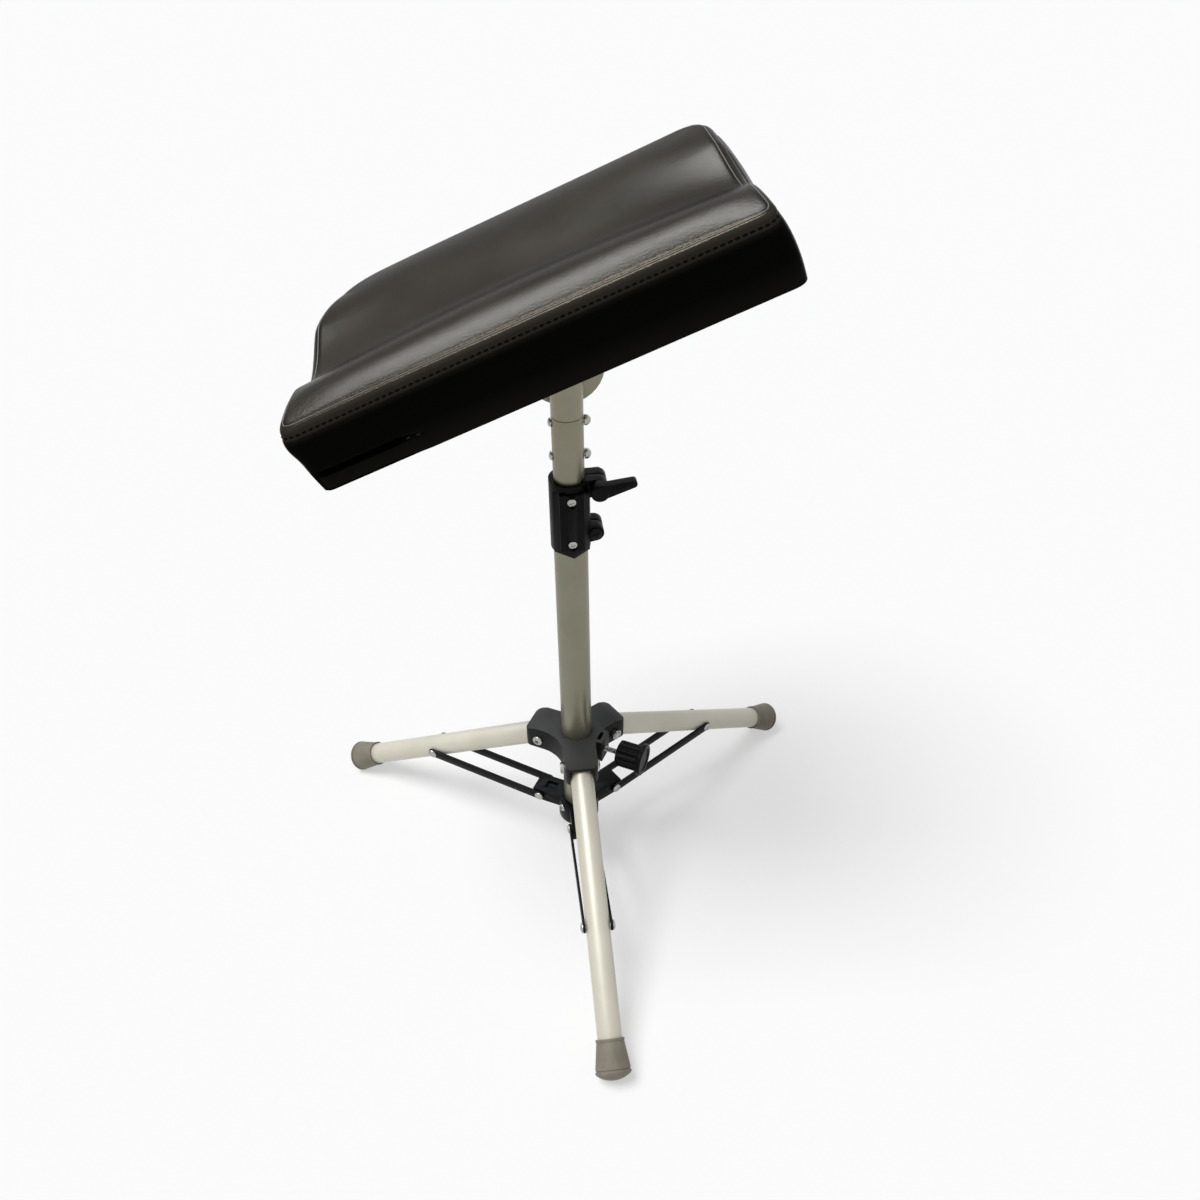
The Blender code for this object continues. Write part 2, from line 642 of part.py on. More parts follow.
def make_collar(column_axis):
    ring = column_hole + COLLAR_WALL
    low = column_bottom - COLLAR_LIP_HEIGHT
    arm_low = collar_height - COLLAR_ARM_BELOW
    arm_high = collar_height + COLLAR_ARM_ABOVE
    collar = piece_of("lower_collar", rod(ring, low, arm_high, TUBE_SIDES), BLACK_PLASTIC, column_axis)
    tip = COLLAR_PIVOT_RADIUS + COLLAR_ARM_TIP
    arm = block((column_hole, -collar_half, arm_low), (tip, collar_half, arm_high))
    hole = moved(rod(COLLAR_PIN_RADIUS + CLEARANCE, -collar_half - OVERCUT, collar_half + OVERCUT), TO_Y)
    moved(hole, Matrix.Translation((COLLAR_PIVOT_RADIUS, 0, collar_height)))
    sides = [Matrix.Rotation(math.radians(degrees), 4, "Z") for degrees in LEG_AZIMUTHS.values()]
    for to_arm in sides:
        join(collar, moved(arm.copy(), to_arm))
    for to_arm in sides:
        cut(collar, moved(hole.copy(), to_arm))
    arm.free()
    hole.free()
    cut(collar, rod(column_hole, column_bottom - CLEARANCE, arm_high + OVERCUT, TUBE_SIDES))
    lip_hole = column_hole - COLLAR_LIP_WIDTH
    cut(collar, rod(lip_hole, low - OVERCUT, column_bottom + OVERCUT, TUBE_SIDES))
    to_screw = Matrix.Rotation(COLLAR_SCREW_AZIMUTH, 4, "Z") @ Matrix.Translation((0, 0, collar_height))
    screw_hole = moved(rod(COLLAR_SCREW_RADIUS + CLEARANCE, 0, ring + OVERCUT), TO_X)
    cut(collar, moved(screw_hole, to_screw))
    seat = ring + CLEARANCE
    screw = domed_bolt(COLLAR_SCREW_RADIUS, column_hole, seat, COLLAR_SCREW_HEAD, COLLAR_SCREW_HEAD_HEIGHT)
    piece_of("collar_screw", moved(screw, to_screw @ TO_X), BRIGHT_STEEL, column_axis)


def make_collar_pins(column_axis):
    for side, degrees in LEG_AZIMUTHS.items():
        at_pin = Matrix.Translation((COLLAR_PIVOT_RADIUS, 0, collar_height))
        pin = moved(rod(COLLAR_PIN_RADIUS, -collar_half, collar_half), TO_Y)
        to_arm = Matrix.Rotation(math.radians(degrees), 4, "Z")
        piece_of(f"collar_pin_{side}", moved(pin, to_arm @ at_pin), BRIGHT_STEEL, column_axis)


def make_column(column_axis):
    inner = COLUMN_RADIUS - COLUMN_WALL
    piece_of("column_tube", tube(COLUMN_RADIUS, inner, column_bottom, COLUMN_TOP), PAINT, column_axis)
    plug = rod(inner - CLEARANCE, column_bottom, column_bottom + END_PLUG_LENGTH, TUBE_SIDES)
    piece_of("column_end_plug", plug, BLACK_PLASTIC, column_axis)


# Height clamp


def ear_outline(offset, height):
    """A lug in X and Z that runs from inside the clamp to a round end."""
    end = arc((offset, height), EAR_RADIUS, math.radians(-90), math.radians(90), 2 * ROUND_STEPS)
    return [(0, height - EAR_ROOT)] + end + [(0, height + EAR_RADIUS)]


def make_clamp_body(column_axis):
    sleeve = rod(clamp_radius, clamp_bottom, clamp_top, TUBE_SIDES)
    body = piece_of("clamp_body", sleeve, BLACK_PLASTIC, column_axis)
    half = CLAMP_FRONT_WIDTH / 2
    front_low = clamp_bottom + CLAMP_FRONT_MARGIN
    front_high = clamp_top - CLAMP_FRONT_MARGIN
    join(body, block((-half, -clamp_front, front_low), (half, 0, front_high)))
    ear = EAR_THICKNESS / 2
    for offset, height in ((LEVER_OFFSET, lever_height), (EAR_SCREW_OFFSET, ear_screw_height)):
        join(body, standing(ear_outline(offset, height), -ear, ear))
    cut(body, rod(column_hole, clamp_bottom - OVERCUT, COLUMN_TOP + CLEARANCE, TUBE_SIDES))
    cut(body, rod(mast_hole, COLUMN_TOP - OVERCUT, clamp_top + OVERCUT, TUBE_SIDES))
    slit = CLAMP_SLIT / 2
    ear_end = max(LEVER_OFFSET, EAR_SCREW_OFFSET) + EAR_RADIUS + OVERCUT
    cut(body, block((0, -slit, clamp_bottom - OVERCUT), (ear_end, slit, clamp_top + OVERCUT)))
    for offset, height in ((LEVER_OFFSET, lever_height), (EAR_SCREW_OFFSET, ear_screw_height)):
        hole = moved(rod(STUD_RADIUS + CLEARANCE, -ear - OVERCUT, ear + OVERCUT), TO_Y)
        cut(body, moved(hole, Matrix.Translation((offset, 0, height))))
    for height in front_screw_heights().values():
        hole = moved(rod(FRONT_SCREW_RADIUS + CLEARANCE, 0, clamp_front + OVERCUT), UPRIGHT)
        cut(body, moved(hole, Matrix.Translation((0, 0, height))))


def front_screw_heights():
    return {"upper": clamp_top - FRONT_SCREW_MARGIN, "lower": clamp_bottom + FRONT_SCREW_MARGIN}


def make_clamp_screws(column_axis):
    for name, height in front_screw_heights().items():
        tip = column_hole if height < COLUMN_TOP else mast_hole
        screw = domed_bolt(
            FRONT_SCREW_RADIUS, tip, clamp_front + CLEARANCE, FRONT_SCREW_HEAD, FRONT_SCREW_HEAD_HEIGHT
        )
        moved(screw, Matrix.Translation((0, 0, height)) @ UPRIGHT)
        piece_of(f"clamp_front_screw_{name}", screw, BRIGHT_STEEL, column_axis)
    ear = EAR_THICKNESS / 2
    screw = domed_bolt(STUD_RADIUS, -ear, ear + CLEARANCE, STUD_NUT_RADIUS, RIVET_HEAD_HEIGHT)
    moved(screw, Matrix.Translation((EAR_SCREW_OFFSET, 0, ear_screw_height)) @ UPRIGHT)
    piece_of("clamp_ear_screw", screw, BRIGHT_STEEL, column_axis)


def make_clamp_lever(column_axis):
    spot, towards_front = (LEVER_OFFSET, 0, lever_height), (math.radians(90), 0, 0)
    lever_axis = place("clamp_lever_axis", None, column_axis, spot, towards_front)
    nut_seat = place("lever_nut_seat", None, column_axis, spot, towards_front)
    face = EAR_THICKNESS / 2 + CLEARANCE
    end = face + LEVER_BOSS_HEIGHT
    boss = [(0, end), (LEVER_BOSS_RADIUS - KNOB_ROUNDING, end), (LEVER_BOSS_RADIUS, end - KNOB_ROUNDING)]
    hole = STUD_RADIUS + CLEARANCE
    socket_end = end - LEVER_CAP
    boss += [(LEVER_BOSS_RADIUS, face), (hole, face), (hole, socket_end), (0, socket_end)]
    lever = piece_of("clamp_lever", turned(boss, FITTING_SIDES), BLACK_PLASTIC, lever_axis)
    half, tip = LEVER_ROOT_WIDTH / 2, LEVER_TIP_WIDTH / 2
    start = hole + CLEARANCE
    round_tip = arc((LEVER_LENGTH - tip, 0), tip, math.radians(-90), math.radians(90), ROUND_STEPS)
    arm = [(start, -half)] + round_tip + [(start, half)]
    low = end - LEVER_ARM_HEIGHT - KNOB_ROUNDING
    join(lever, moved(extruded(arm, low, end - KNOB_ROUNDING), Matrix.Rotation(LEVER_LIFT, 4, "Z")))
    nut_face = -EAR_THICKNESS / 2 - CLEARANCE
    nut_end = nut_face - STUD_NUT_HEIGHT
    piece_of("lever_stud", rod(STUD_RADIUS, nut_end, socket_end - CLEARANCE), BRIGHT_STEEL, lever_axis)
    piece_of("lever_nut", hexagon(STUD_NUT_RADIUS, hole, nut_end, nut_face), BRIGHT_STEEL, nut_seat)


# Mast and neck


def make_mast(mast_axis):
    mast = piece_of("mast_tube", tube(mast_radius, mast_bore, mast_bottom, mast_top), PAINT, mast_axis)
    spigot_low = mast_top - SPIGOT_BELOW
    spigot_high = plug_bottom - CLEARANCE
    spigot_tube = tube(spigot_radius, spigot_radius - SPIGOT_WALL, spigot_low, spigot_high)
    spigot = piece_of("neck_spigot", spigot_tube, BRIGHT_STEEL, mast_axis)
    reach = mast_radius + OVERCUT
    for drop in SPLICE_BOLT_DROPS.values():
        hole = moved(rod(SPLICE_BOLT_RADIUS + CLEARANCE, -reach, reach), TO_X)
        moved(hole, Matrix.Translation((0, 0, mast_top - drop)))
        cut(mast, hole.copy())
        cut(spigot, hole)


def make_splice_bolts(mast_axis):
    seat = mast_radius + CLEARANCE
    hole = SPLICE_BOLT_RADIUS + CLEARANCE
    nut_end = seat + SPLICE_NUT_HEIGHT
    dome_base = nut_end - SPLICE_NUT_RADIUS
    dome = []
    for turn in (1.25, 0.9, 0.5):
        dome.append((SPLICE_NUT_RADIUS * math.cos(turn), dome_base + SPLICE_NUT_RADIUS * math.sin(turn)))
    cap = [(0, nut_end)] + dome + [(SPLICE_NUT_RADIUS, seat), (hole, seat)]
    cap += [(hole, nut_end - SPLICE_NUT_ROOF), (0, nut_end - SPLICE_NUT_ROOF)]
    for name, drop in SPLICE_BOLT_DROPS.items():
        at_bolt = Matrix.Translation((0, 0, mast_top - drop))
        shank_end = nut_end - SPLICE_NUT_ROOF - CLEARANCE
        bolt = domed_bolt(SPLICE_BOLT_RADIUS, -shank_end, seat, SPLICE_HEAD_RADIUS, SPLICE_HEAD_HEIGHT)
        turned_round = Matrix.Rotation(math.radians(180), 4, "Z")
        piece_of(f"splice_bolt_{name}", moved(bolt, at_bolt @ turned_round @ TO_X), BRIGHT_STEEL, mast_axis)
        nut = moved(turned(cap, BOLT_SIDES), at_bolt @ TO_X)
        piece_of(f"splice_nut_{name}", nut, BRIGHT_STEEL, mast_axis)


def make_neck(mast_axis):
    neck = piece_of("neck_tube", tube(mast_radius, mast_bore, neck_bottom, neck_top), PAINT, mast_axis)
    at_tilt = Matrix.Translation((0, 0, tilt_height)) @ TO_Y
    hole = TILT_STUD_RADIUS + CLEARANCE
    cut(neck, moved(rod(hole, 0, mast_radius + OVERCUT), at_tilt))
    cap = neck_top + CLEARANCE
    profile = [(0, cap + PLUG_CAP_HEIGHT), (mast_bore, cap + PLUG_CAP_HEIGHT), (mast_radius, cap)]
    profile += [(spigot_radius, cap), (spigot_radius, plug_bottom), (0, plug_bottom)]
    plug = piece_of("neck_plug", turned(profile, TUBE_SIDES), BLACK_PLASTIC, mast_axis)
    cut(plug, moved(rod(hole, -TILT_STUD_DEPTH - CLEARANCE, mast_radius + OVERCUT), at_tilt))


def make_glide_bush(mast_axis):
    low = mast_bottom - CLEARANCE - BUSH_LENGTH
    seat = mast_bottom - CLEARANCE
    top = mast_bottom + BUSH_SPIGOT
    profile = [(mast_radius, seat), (mast_radius, low), (BUSH_BORE, low), (BUSH_BORE, top)]
    profile += [(spigot_radius, top), (spigot_radius, seat)]
    piece_of("mast_glide_bush", turned(profile, TUBE_SIDES, closed=True), WHITE_NYLON, mast_axis)


# Tilt joint


def make_tilt_lock(mast_axis):
    spot, towards_back = (0, 0, tilt_height), (math.radians(-90), 0, 0)
    knob_axis = place("tilt_knob_axis", None, mast_axis, spot, towards_back)
    washer_seat = place("tilt_washer_seat", None, mast_axis, spot, towards_back)
    stud_end = tilt_knob_place + KNOB_THREAD_DEPTH - CLEARANCE
    piece_of("tilt_stud", rod(TILT_STUD_RADIUS, -TILT_STUD_DEPTH, stud_end), BRIGHT_STEEL, knob_axis)
    washer = tube(
        TILT_WASHER_RADIUS,
        TILT_STUD_RADIUS + CLEARANCE,
        washer_place,
        washer_place + TILT_WASHER_HEIGHT,
        FITTING_SIDES,
    )
    piece_of("tilt_washer", washer, BRIGHT_STEEL, washer_seat)
    piece_of("tilt_knob", fluted_knob(TILT_STUD_RADIUS, tilt_knob_place), BLACK_PLASTIC, knob_axis)


def flange_screw_spots():
    along = FLANGE_LENGTH / 2 - FLANGE_SCREW_MARGIN
    across = FLANGE_WIDTH / 2 - FLANGE_SCREW_MARGIN
    return {"a": (along, across), "b": (-along, across), "c": (-along, -across), "d": (along, -across)}


def make_tilt_bracket(tilt_axis):
    """A screwed-on flange with one round cheek that turns about the tilt stud."""
    half, across = FLANGE_LENGTH / 2, FLANGE_WIDTH / 2
    flange = block((-half, -across, flange_bottom), (half, across, flange_top))
    bracket = piece_of("tilt_bracket", flange, PAINT, tilt_axis)
    middle = (flange_bottom + flange_top) / 2
    outline = arc((0, 0), CHEEK_RADIUS, math.radians(-180), 0, 3 * ROUND_STEPS)
    outline += [(CHEEK_RADIUS, middle), (-CHEEK_RADIUS, middle)]
    join(bracket, standing(outline, cheek_inner, cheek_outer))
    stud_hole = rod(TILT_STUD_RADIUS + CLEARANCE, cheek_inner - OVERCUT, cheek_outer + OVERCUT)
    cut(bracket, moved(stud_hole, TO_Y))
    for x, y in flange_screw_spots().values():
        hole = rod(BOARD_SCREW_RADIUS + CLEARANCE, flange_bottom - OVERCUT, flange_top + OVERCUT)
        cut(bracket, moved(hole, Matrix.Translation((x, y, 0))))


def make_bracket_screws(tilt_axis):
    tip = board_bottom + BOARD_SCREW_DEPTH
    over = Matrix.Rotation(math.radians(180), 4, "X")
    for name, (x, y) in flange_screw_spots().items():
        head_seat = flange_bottom - CLEARANCE
        screw = domed_bolt(BOARD_SCREW_RADIUS, -tip, -head_seat, BOARD_SCREW_HEAD, BOARD_SCREW_HEAD_HEIGHT)
        moved(screw, Matrix.Translation((x, y, 0)) @ over)
        piece_of(f"bracket_screw_{name}", screw, BRIGHT_STEEL, tilt_axis)


# Pad


def pad_corner(y, inset):
    """Corner radius of the pad's plan: the corners at the back are rounder than those at the front."""
    radius = PAD_FAR_CORNER if y > 0 else PAD_NEAR_CORNER
    return radius - min(inset, radius / 2)


def past_corner(x, y, half_length, half_width, corner):
    """How far a point lies beyond the start of the corner, along X and Y."""
    return abs(x) - (half_length - corner), abs(y) - (half_width - corner)


def into_corner(x, y, half_length, half_width, corner):
    """Draws a point of a rectangle into its rounded corner."""
    past_x, past_y = past_corner(x, y, half_length, half_width, corner)
    if min(past_x, past_y) <= 0:
        return x, y
    pull = max(past_x, past_y) / math.hypot(past_x, past_y)
    return (
        math.copysign(half_length - corner + past_x * pull, x),
        math.copysign(half_width - corner + past_y * pull, y),
    )


def outward(x, y, half_length, half_width, corner):
    """The way out of the plan at a point of its edge."""
    past_x, past_y = [max(past, 0) for past in past_corner(x, y, half_length, half_width, corner)]
    size = math.hypot(past_x, past_y)
    return math.copysign(past_x / size, x), math.copysign(past_y / size, y)


def spread(step, steps):
    """Places along a side from -1 to 1, closer together towards its ends."""
    return math.sin(math.pi * (step / steps - 0.5))


def crown(x, y):
    """Height of the pad's top: a trough along its length between two rolled ridges."""
    half_length, half_width = PAD_TOP_LENGTH / 2, PAD_TOP_WIDTH / 2
    across = min(abs(y), half_width)
    if across < PAD_RIDGE_OFFSET:
        rise = (1 - math.cos(math.pi * across / PAD_RIDGE_OFFSET)) / 2
        height = PAD_VALLEY_HEIGHT + (PAD_RIDGE_HEIGHT - PAD_VALLEY_HEIGHT) * rise
    else:
        fall = (across - PAD_RIDGE_OFFSET) / (half_width - PAD_RIDGE_OFFSET)
        height = PAD_RIDGE_HEIGHT - (PAD_RIDGE_HEIGHT - PAD_SEAM_HEIGHT) * fall**2
    roll = PAD_END_ROLL * (abs(x) / half_length) ** 8 * (1 - (across / half_width) ** 4)
    return height - roll


def top_point(i, j, inset):
    """A point of the top panel, whose edge is the seam, drawn in between the corners."""
    half_length, half_width = PAD_TOP_LENGTH / 2 - inset, PAD_TOP_WIDTH / 2 - inset
    a, b = spread(i, PAD_COLUMNS), spread(j, PAD_ROWS)
    x, y = into_corner(a * half_length, b * half_width, half_length, half_width, pad_corner(b, inset))
    drawn_x = x * (1 - PAD_END_DRAW / half_length * (1 - b * b) - PAD_TOP_TAPER / (2 * half_length) * b)
    drawn_y = y * (1 - PAD_SIDE_DRAW / half_width * (1 - a * a))
    return PAD_SHIFT + drawn_x, drawn_y, PAD_DROP + crown(x, y) - inset


def base_point(i, j, inset):
    """A point of the pad's lower edge, and the way out of it."""
    half_length, half_width = PAD_BASE_LENGTH / 2 - inset, PAD_BASE_WIDTH / 2 - inset
    x, y = spread(i, PAD_COLUMNS) * half_length, spread(j, PAD_ROWS) * half_width
    corner = pad_corner(y, inset)
    way = outward(x, y, half_length, half_width, corner)
    x, y = into_corner(x, y, half_length, half_width, corner)
    return (PAD_SHIFT + x, y), way


def side_point(i, j, inset, top, share):
    """A point of the side panel, this share of the way down from the seam to the lower edge."""
    (x, y), way = base_point(i, j, inset)
    swell = PAD_BULGE * 4 * share * (1 - share)
    return top.x + (x - top.x) * share + way[0] * swell, top.y + (y - top.y) * share + way[1] * swell


def pad_edge():
    """Grid places round the edge of the top panel, in order."""
    edge = [(i, 0) for i in range(PAD_COLUMNS)]
    edge += [(PAD_COLUMNS, j) for j in range(PAD_ROWS)]
    edge += [(i, PAD_ROWS) for i in range(PAD_COLUMNS, 0, -1)]
    return edge + [(0, j) for j in range(PAD_ROWS, 0, -1)]


def pad_skin(bm, inset, floor):
    """Adds the top and side panels of the pad, drawn in by inset, down to floor. Gives the lowest loop."""
    grid = {}
    for i in range(PAD_COLUMNS + 1):
        for j in range(PAD_ROWS + 1):
            grid[i, j] = bm.verts.new(top_point(i, j, inset))
    for i in range(PAD_COLUMNS):
        for j in range(PAD_ROWS):
            bm.faces.new((grid[i, j], grid[i + 1, j], grid[i + 1, j + 1], grid[i, j + 1]))
    upper = [grid[key] for key in pad_edge()]
    seam = [vertex.co.copy() for vertex in upper]
    for step in range(1, PAD_SIDE_STEPS + 1):
        lower = []
        for (i, j), top in zip(pad_edge(), seam):
            height = top.z + (floor - top.z) * step / PAD_SIDE_STEPS
            x, y = side_point(i, j, inset, top, (top.z - height) / (top.z - PAD_DROP))
            lower.append(bm.verts.new((x, y, height)))
        bridge(bm, upper, lower)
        upper = lower
    return upper


def make_pad_cover(tilt_axis):
    """One skin of vinyl over the top and sides, turned under the board as a hem."""
    bm = bmesh.new()
    outer = pad_skin(bm, 0, PAD_DROP)
    inner = pad_skin(bm, COVER_THICKNESS, PAD_DROP + COVER_THICKNESS)
    hem = [base_point(i, j, PAD_HEM)[0] for i, j in pad_edge()]
    hem_low = [bm.verts.new((x, y, PAD_DROP)) for x, y in hem]
    hem_high = [bm.verts.new((x, y, PAD_DROP + COVER_THICKNESS)) for x, y in hem]
    bridge(bm, outer, hem_low)
    bridge(bm, hem_low, hem_high)
    bridge(bm, hem_high, inner)
    bmesh.ops.recalc_face_normals(bm, faces=bm.faces)
    piece_of("pad_cover", bm, VINYL, tilt_axis)


def make_pad_foam(tilt_axis):
    bm = bmesh.new()
    lowest = pad_skin(bm, COVER_THICKNESS + FOAM_EASE, board_bottom + BOARD_THICKNESS + CLEARANCE)
    bm.faces.new(lowest)
    bmesh.ops.recalc_face_normals(bm, faces=bm.faces)
    piece_of("pad_foam", bm, FOAM, tilt_axis)


def make_pad_board(tilt_axis):
    half_length, half_width = PAD_BASE_LENGTH / 2 - BOARD_INSET, PAD_BASE_WIDTH / 2 - BOARD_INSET
    outline = []
    for quarter, (side, end) in enumerate(((1, 1), (-1, 1), (-1, -1), (1, -1))):
        corner = pad_corner(end, BOARD_INSET)
        middle = (PAD_SHIFT + side * (half_length - corner), end * (half_width - corner))
        start = math.radians(90) * quarter
        outline += arc(middle, corner, start, start + math.radians(90), ROUND_STEPS)
    board = extruded(outline, board_bottom, board_bottom + BOARD_THICKNESS)
    pad_board = piece_of("pad_board", board, PLYWOOD, tilt_axis)
    for x, y in flange_screw_spots().values():
        pilot_end = board_bottom + BOARD_SCREW_DEPTH + CLEARANCE
        pilot = rod(BOARD_SCREW_RADIUS + CLEARANCE, board_bottom - OVERCUT, pilot_end)
        cut(pad_board, moved(pilot, Matrix.Translation((x, y, 0))))


# Assembly


def centre_over(feet, stand):
    """Moves the stand so that the origin lies under the middle of the feet."""
    bpy.context.view_layer.update()
    spots = [foot.matrix_world @ vertex.co for foot in feet for vertex in foot.data.vertices]
    for axis in range(2):
        places = [spot[axis] for spot in spots]
        stand.location[axis] = -(min(places) + max(places)) / 2


def main():
    for old in list(bpy.data.objects):
        bpy.data.objects.remove(old, do_unlink=True)
    stand = place("stand", None, None)
    feet = make_legs(stand)
    make_hub(stand)
    make_pivot_bolts(stand)
    make_hub_lock(stand)
    column_axis = place("column_axis", None, stand)
    make_column(column_axis)
    make_collar(column_axis)
    make_collar_pins(column_axis)
    make_clamp_body(column_axis)
    make_clamp_screws(column_axis)
    make_clamp_lever(column_axis)
    mast_axis = place("mast_axis", None, column_axis)
    make_glide_bush(mast_axis)
    make_mast(mast_axis)
    make_splice_bolts(mast_axis)
    make_neck(mast_axis)
    make_tilt_lock(mast_axis)
    tilt_axis = place("tilt_axis", None, mast_axis, (0, 0, tilt_height), (0, -TILT_ANGLE, 0))
    make_tilt_bracket(tilt_axis)
    make_bracket_screws(tilt_axis)
    make_pad_board(tilt_axis)
    make_pad_foam(tilt_axis)
    make_pad_cover(tilt_axis)
    centre_over(feet, stand)


main()
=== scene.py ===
"""The looks of a pedicure footrest: a padded foot trough on a telescopic mast over a folding tripod."""

import json
import math

import bmesh
import bpy
from mathutils import Matrix, Vector


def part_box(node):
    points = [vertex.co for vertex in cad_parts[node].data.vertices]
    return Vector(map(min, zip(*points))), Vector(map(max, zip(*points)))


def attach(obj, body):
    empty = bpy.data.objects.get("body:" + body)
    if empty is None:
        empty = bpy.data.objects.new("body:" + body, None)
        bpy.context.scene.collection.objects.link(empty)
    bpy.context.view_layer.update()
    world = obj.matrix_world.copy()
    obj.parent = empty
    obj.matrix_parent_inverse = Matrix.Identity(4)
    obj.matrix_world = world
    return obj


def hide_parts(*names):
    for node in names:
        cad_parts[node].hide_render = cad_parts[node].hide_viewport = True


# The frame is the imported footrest, whose pieces stay where they stand. The camera looks down on it
# from in front and a little to the left, as the photograph does.
CAMERA_PLACE = (-0.0544, -0.5808, 0.8050)
CAMERA_YAW, CAMERA_PITCH, CAMERA_ROLL = 6.742, 39.415, -0.577
CAMERA_LENS, CAMERA_SENSOR = 32.80, 36.0

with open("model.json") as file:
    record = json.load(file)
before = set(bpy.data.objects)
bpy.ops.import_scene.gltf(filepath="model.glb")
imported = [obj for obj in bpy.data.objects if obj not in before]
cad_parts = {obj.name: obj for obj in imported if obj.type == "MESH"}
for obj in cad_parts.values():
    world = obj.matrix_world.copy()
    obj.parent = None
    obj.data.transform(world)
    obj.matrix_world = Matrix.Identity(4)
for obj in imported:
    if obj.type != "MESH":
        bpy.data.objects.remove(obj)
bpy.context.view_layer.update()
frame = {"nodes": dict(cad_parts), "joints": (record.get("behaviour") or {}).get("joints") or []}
hinges = {joint["name"]: joint for joint in frame["joints"]}
scene = bpy.context.scene


def linked(name, data):
    """A new object of this name in the scene."""
    made = bpy.data.objects.new(name, data)
    scene.collection.objects.link(made)
    return made


def turning(degrees, axis):
    return Matrix.Rotation(math.radians(degrees), 4, axis)


camera = linked("camera", bpy.data.cameras.new("camera"))
camera.data.lens = CAMERA_LENS
camera.data.sensor_width = CAMERA_SENSOR
looking = turning(-CAMERA_YAW, "Z") @ turning(90 - CAMERA_PITCH, "X") @ turning(CAMERA_ROLL, "Z")
camera.matrix_world = Matrix.Translation(CAMERA_PLACE) @ looking
scene.camera = camera
scene.view_settings.view_transform = "Standard"

# The studio is a pale floor under a white surround. A broad soft lamp stands far off, above and to
# the left, so that it lights the floor evenly and throws the shadow to the right. A wide panel
# overhead shows in glossy surfaces only, as the highlights along the pad and the legs.
FLOOR_RADIUS, FLOOR_SIDES = 12.0, 64
FLOOR_COLOUR = (0.92, 0.92, 0.92, 1)
FLOOR_GLOW = 0.50
AMBIENT = (0.23, 0.235, 0.24, 1)
LAMP_WAY = Vector((-0.36, -0.06, 0.93))
LAMP_SPREAD = math.radians(30)
LAMP_POWER = 2.65
PANEL_PLACE = Vector((-0.70, 1.14, 1.90))
PANEL_SIZE = (1.7, 0.58)
PANEL_POWER = 30.0
PANEL_COLOUR = (0.88, 1.0, 1.18)


def feed(tree, node, inputs):
    """Gives a shader node its inputs, as values or as links from other nodes."""
    for name, value in dict(inputs).items():
        if isinstance(value, bpy.types.NodeSocket):
            tree.links.new(value, node.inputs[name])
        else:
            node.inputs[name].default_value = value


def add(tree, kind, inputs=(), output=0, **settings):
    """The output of a new shader node with these inputs and settings."""
    made = tree.nodes.new("ShaderNode" + kind)
    for name, value in settings.items():
        setattr(made, name, value)
    feed(tree, made, inputs)
    return made.outputs[output]


def meshed(name, bm):
    """A new object of this name from a shape, which is used up."""
    made = linked(name, bpy.data.meshes.new(name))
    bm.to_mesh(made.data)
    bm.free()
    return made


def seen_ray(tree):
    """1 for rays that show the surround itself: straight from the camera, mirrored or through glass."""
    path = add(tree, "LightPath").node.outputs
    mirrored = {0: path["Is Glossy Ray"], 1: path["Is Transmission Ray"]}
    mirrored = add(tree, "Math", mirrored, operation="MAXIMUM")
    return add(tree, "Math", {0: path["Is Camera Ray"], 1: mirrored}, operation="MAXIMUM")


world = bpy.data.worlds.new("surround")
scene.world = world
world.use_nodes = True
sky = world.node_tree
ambient = add(sky, "Background", {"Color": AMBIENT})
white = add(sky, "Background", {"Color": (1, 1, 1, 1)})
surround = add(sky, "MixShader", {0: seen_ray(sky), 1: ambient, 2: white})
feed(sky, sky.nodes["World Output"], {"Surface": surround})

floor_shape = bmesh.new()
bmesh.ops.create_circle(floor_shape, cap_ends=True, segments=FLOOR_SIDES, radius=FLOOR_RADIUS)
floor = meshed("floor", floor_shape)
floor_look = bpy.data.materials.new("pale_floor")
floor_look.use_nodes = True
ground = floor_look.node_tree
matt = add(ground, "BsdfDiffuse", {"Color": FLOOR_COLOUR})
glow = add(ground, "Emission", {"Color": (1, 1, 1, 1)})
part_glow = add(ground, "Math", {0: seen_ray(ground), 1: FLOOR_GLOW}, operation="MULTIPLY")
paled = add(ground, "MixShader", {0: part_glow, 1: matt, 2: glow})
feed(ground, ground.nodes["Material Output"], {"Surface": paled})
floor.data.materials.append(floor_look)

lamp = linked("lamp", bpy.data.lights.new("lamp", "SUN"))
lamp.data.angle = LAMP_SPREAD
lamp.data.energy = LAMP_POWER
lamp.rotation_euler = LAMP_WAY.to_track_quat("Z", "Y").to_euler()
panel = linked("panel", bpy.data.lights.new("panel", "AREA"))
panel.data.shape = "RECTANGLE"
panel.data.size, panel.data.size_y = PANEL_SIZE
panel.data.energy = PANEL_POWER
panel.data.color = PANEL_COLOUR
panel.visible_diffuse = False
panel.location = PANEL_PLACE

# The legs are drawn steel tubes in a satin champagne paint with a fine metallic flake. Each hangs in
# a slot of the hub on a cross bolt, and its ends are cut square and lightly deburred.
LEG_SIDES = ("front", "right", "left")
LEG_SLOPE = math.radians(30)
LEG_RADIUS, LEG_TAIL, LEG_END = 0.0095, 0.004, 0.2295
TUBE_WALL, TUBE_EDGE, TUBE_SIDES = 0.0012, 0.0003, 96
MERGE = 1e-6
SHARP_TO_SOFTEN, SHARP_TO_SHADE = math.radians(28), math.radians(38)
DRIFT, SHADE_STOPS = (0.3, 0.7), (0.35, 0.65)
ALONG_X, ALONG_Y = turning(90, "Y"), turning(-90, "X")


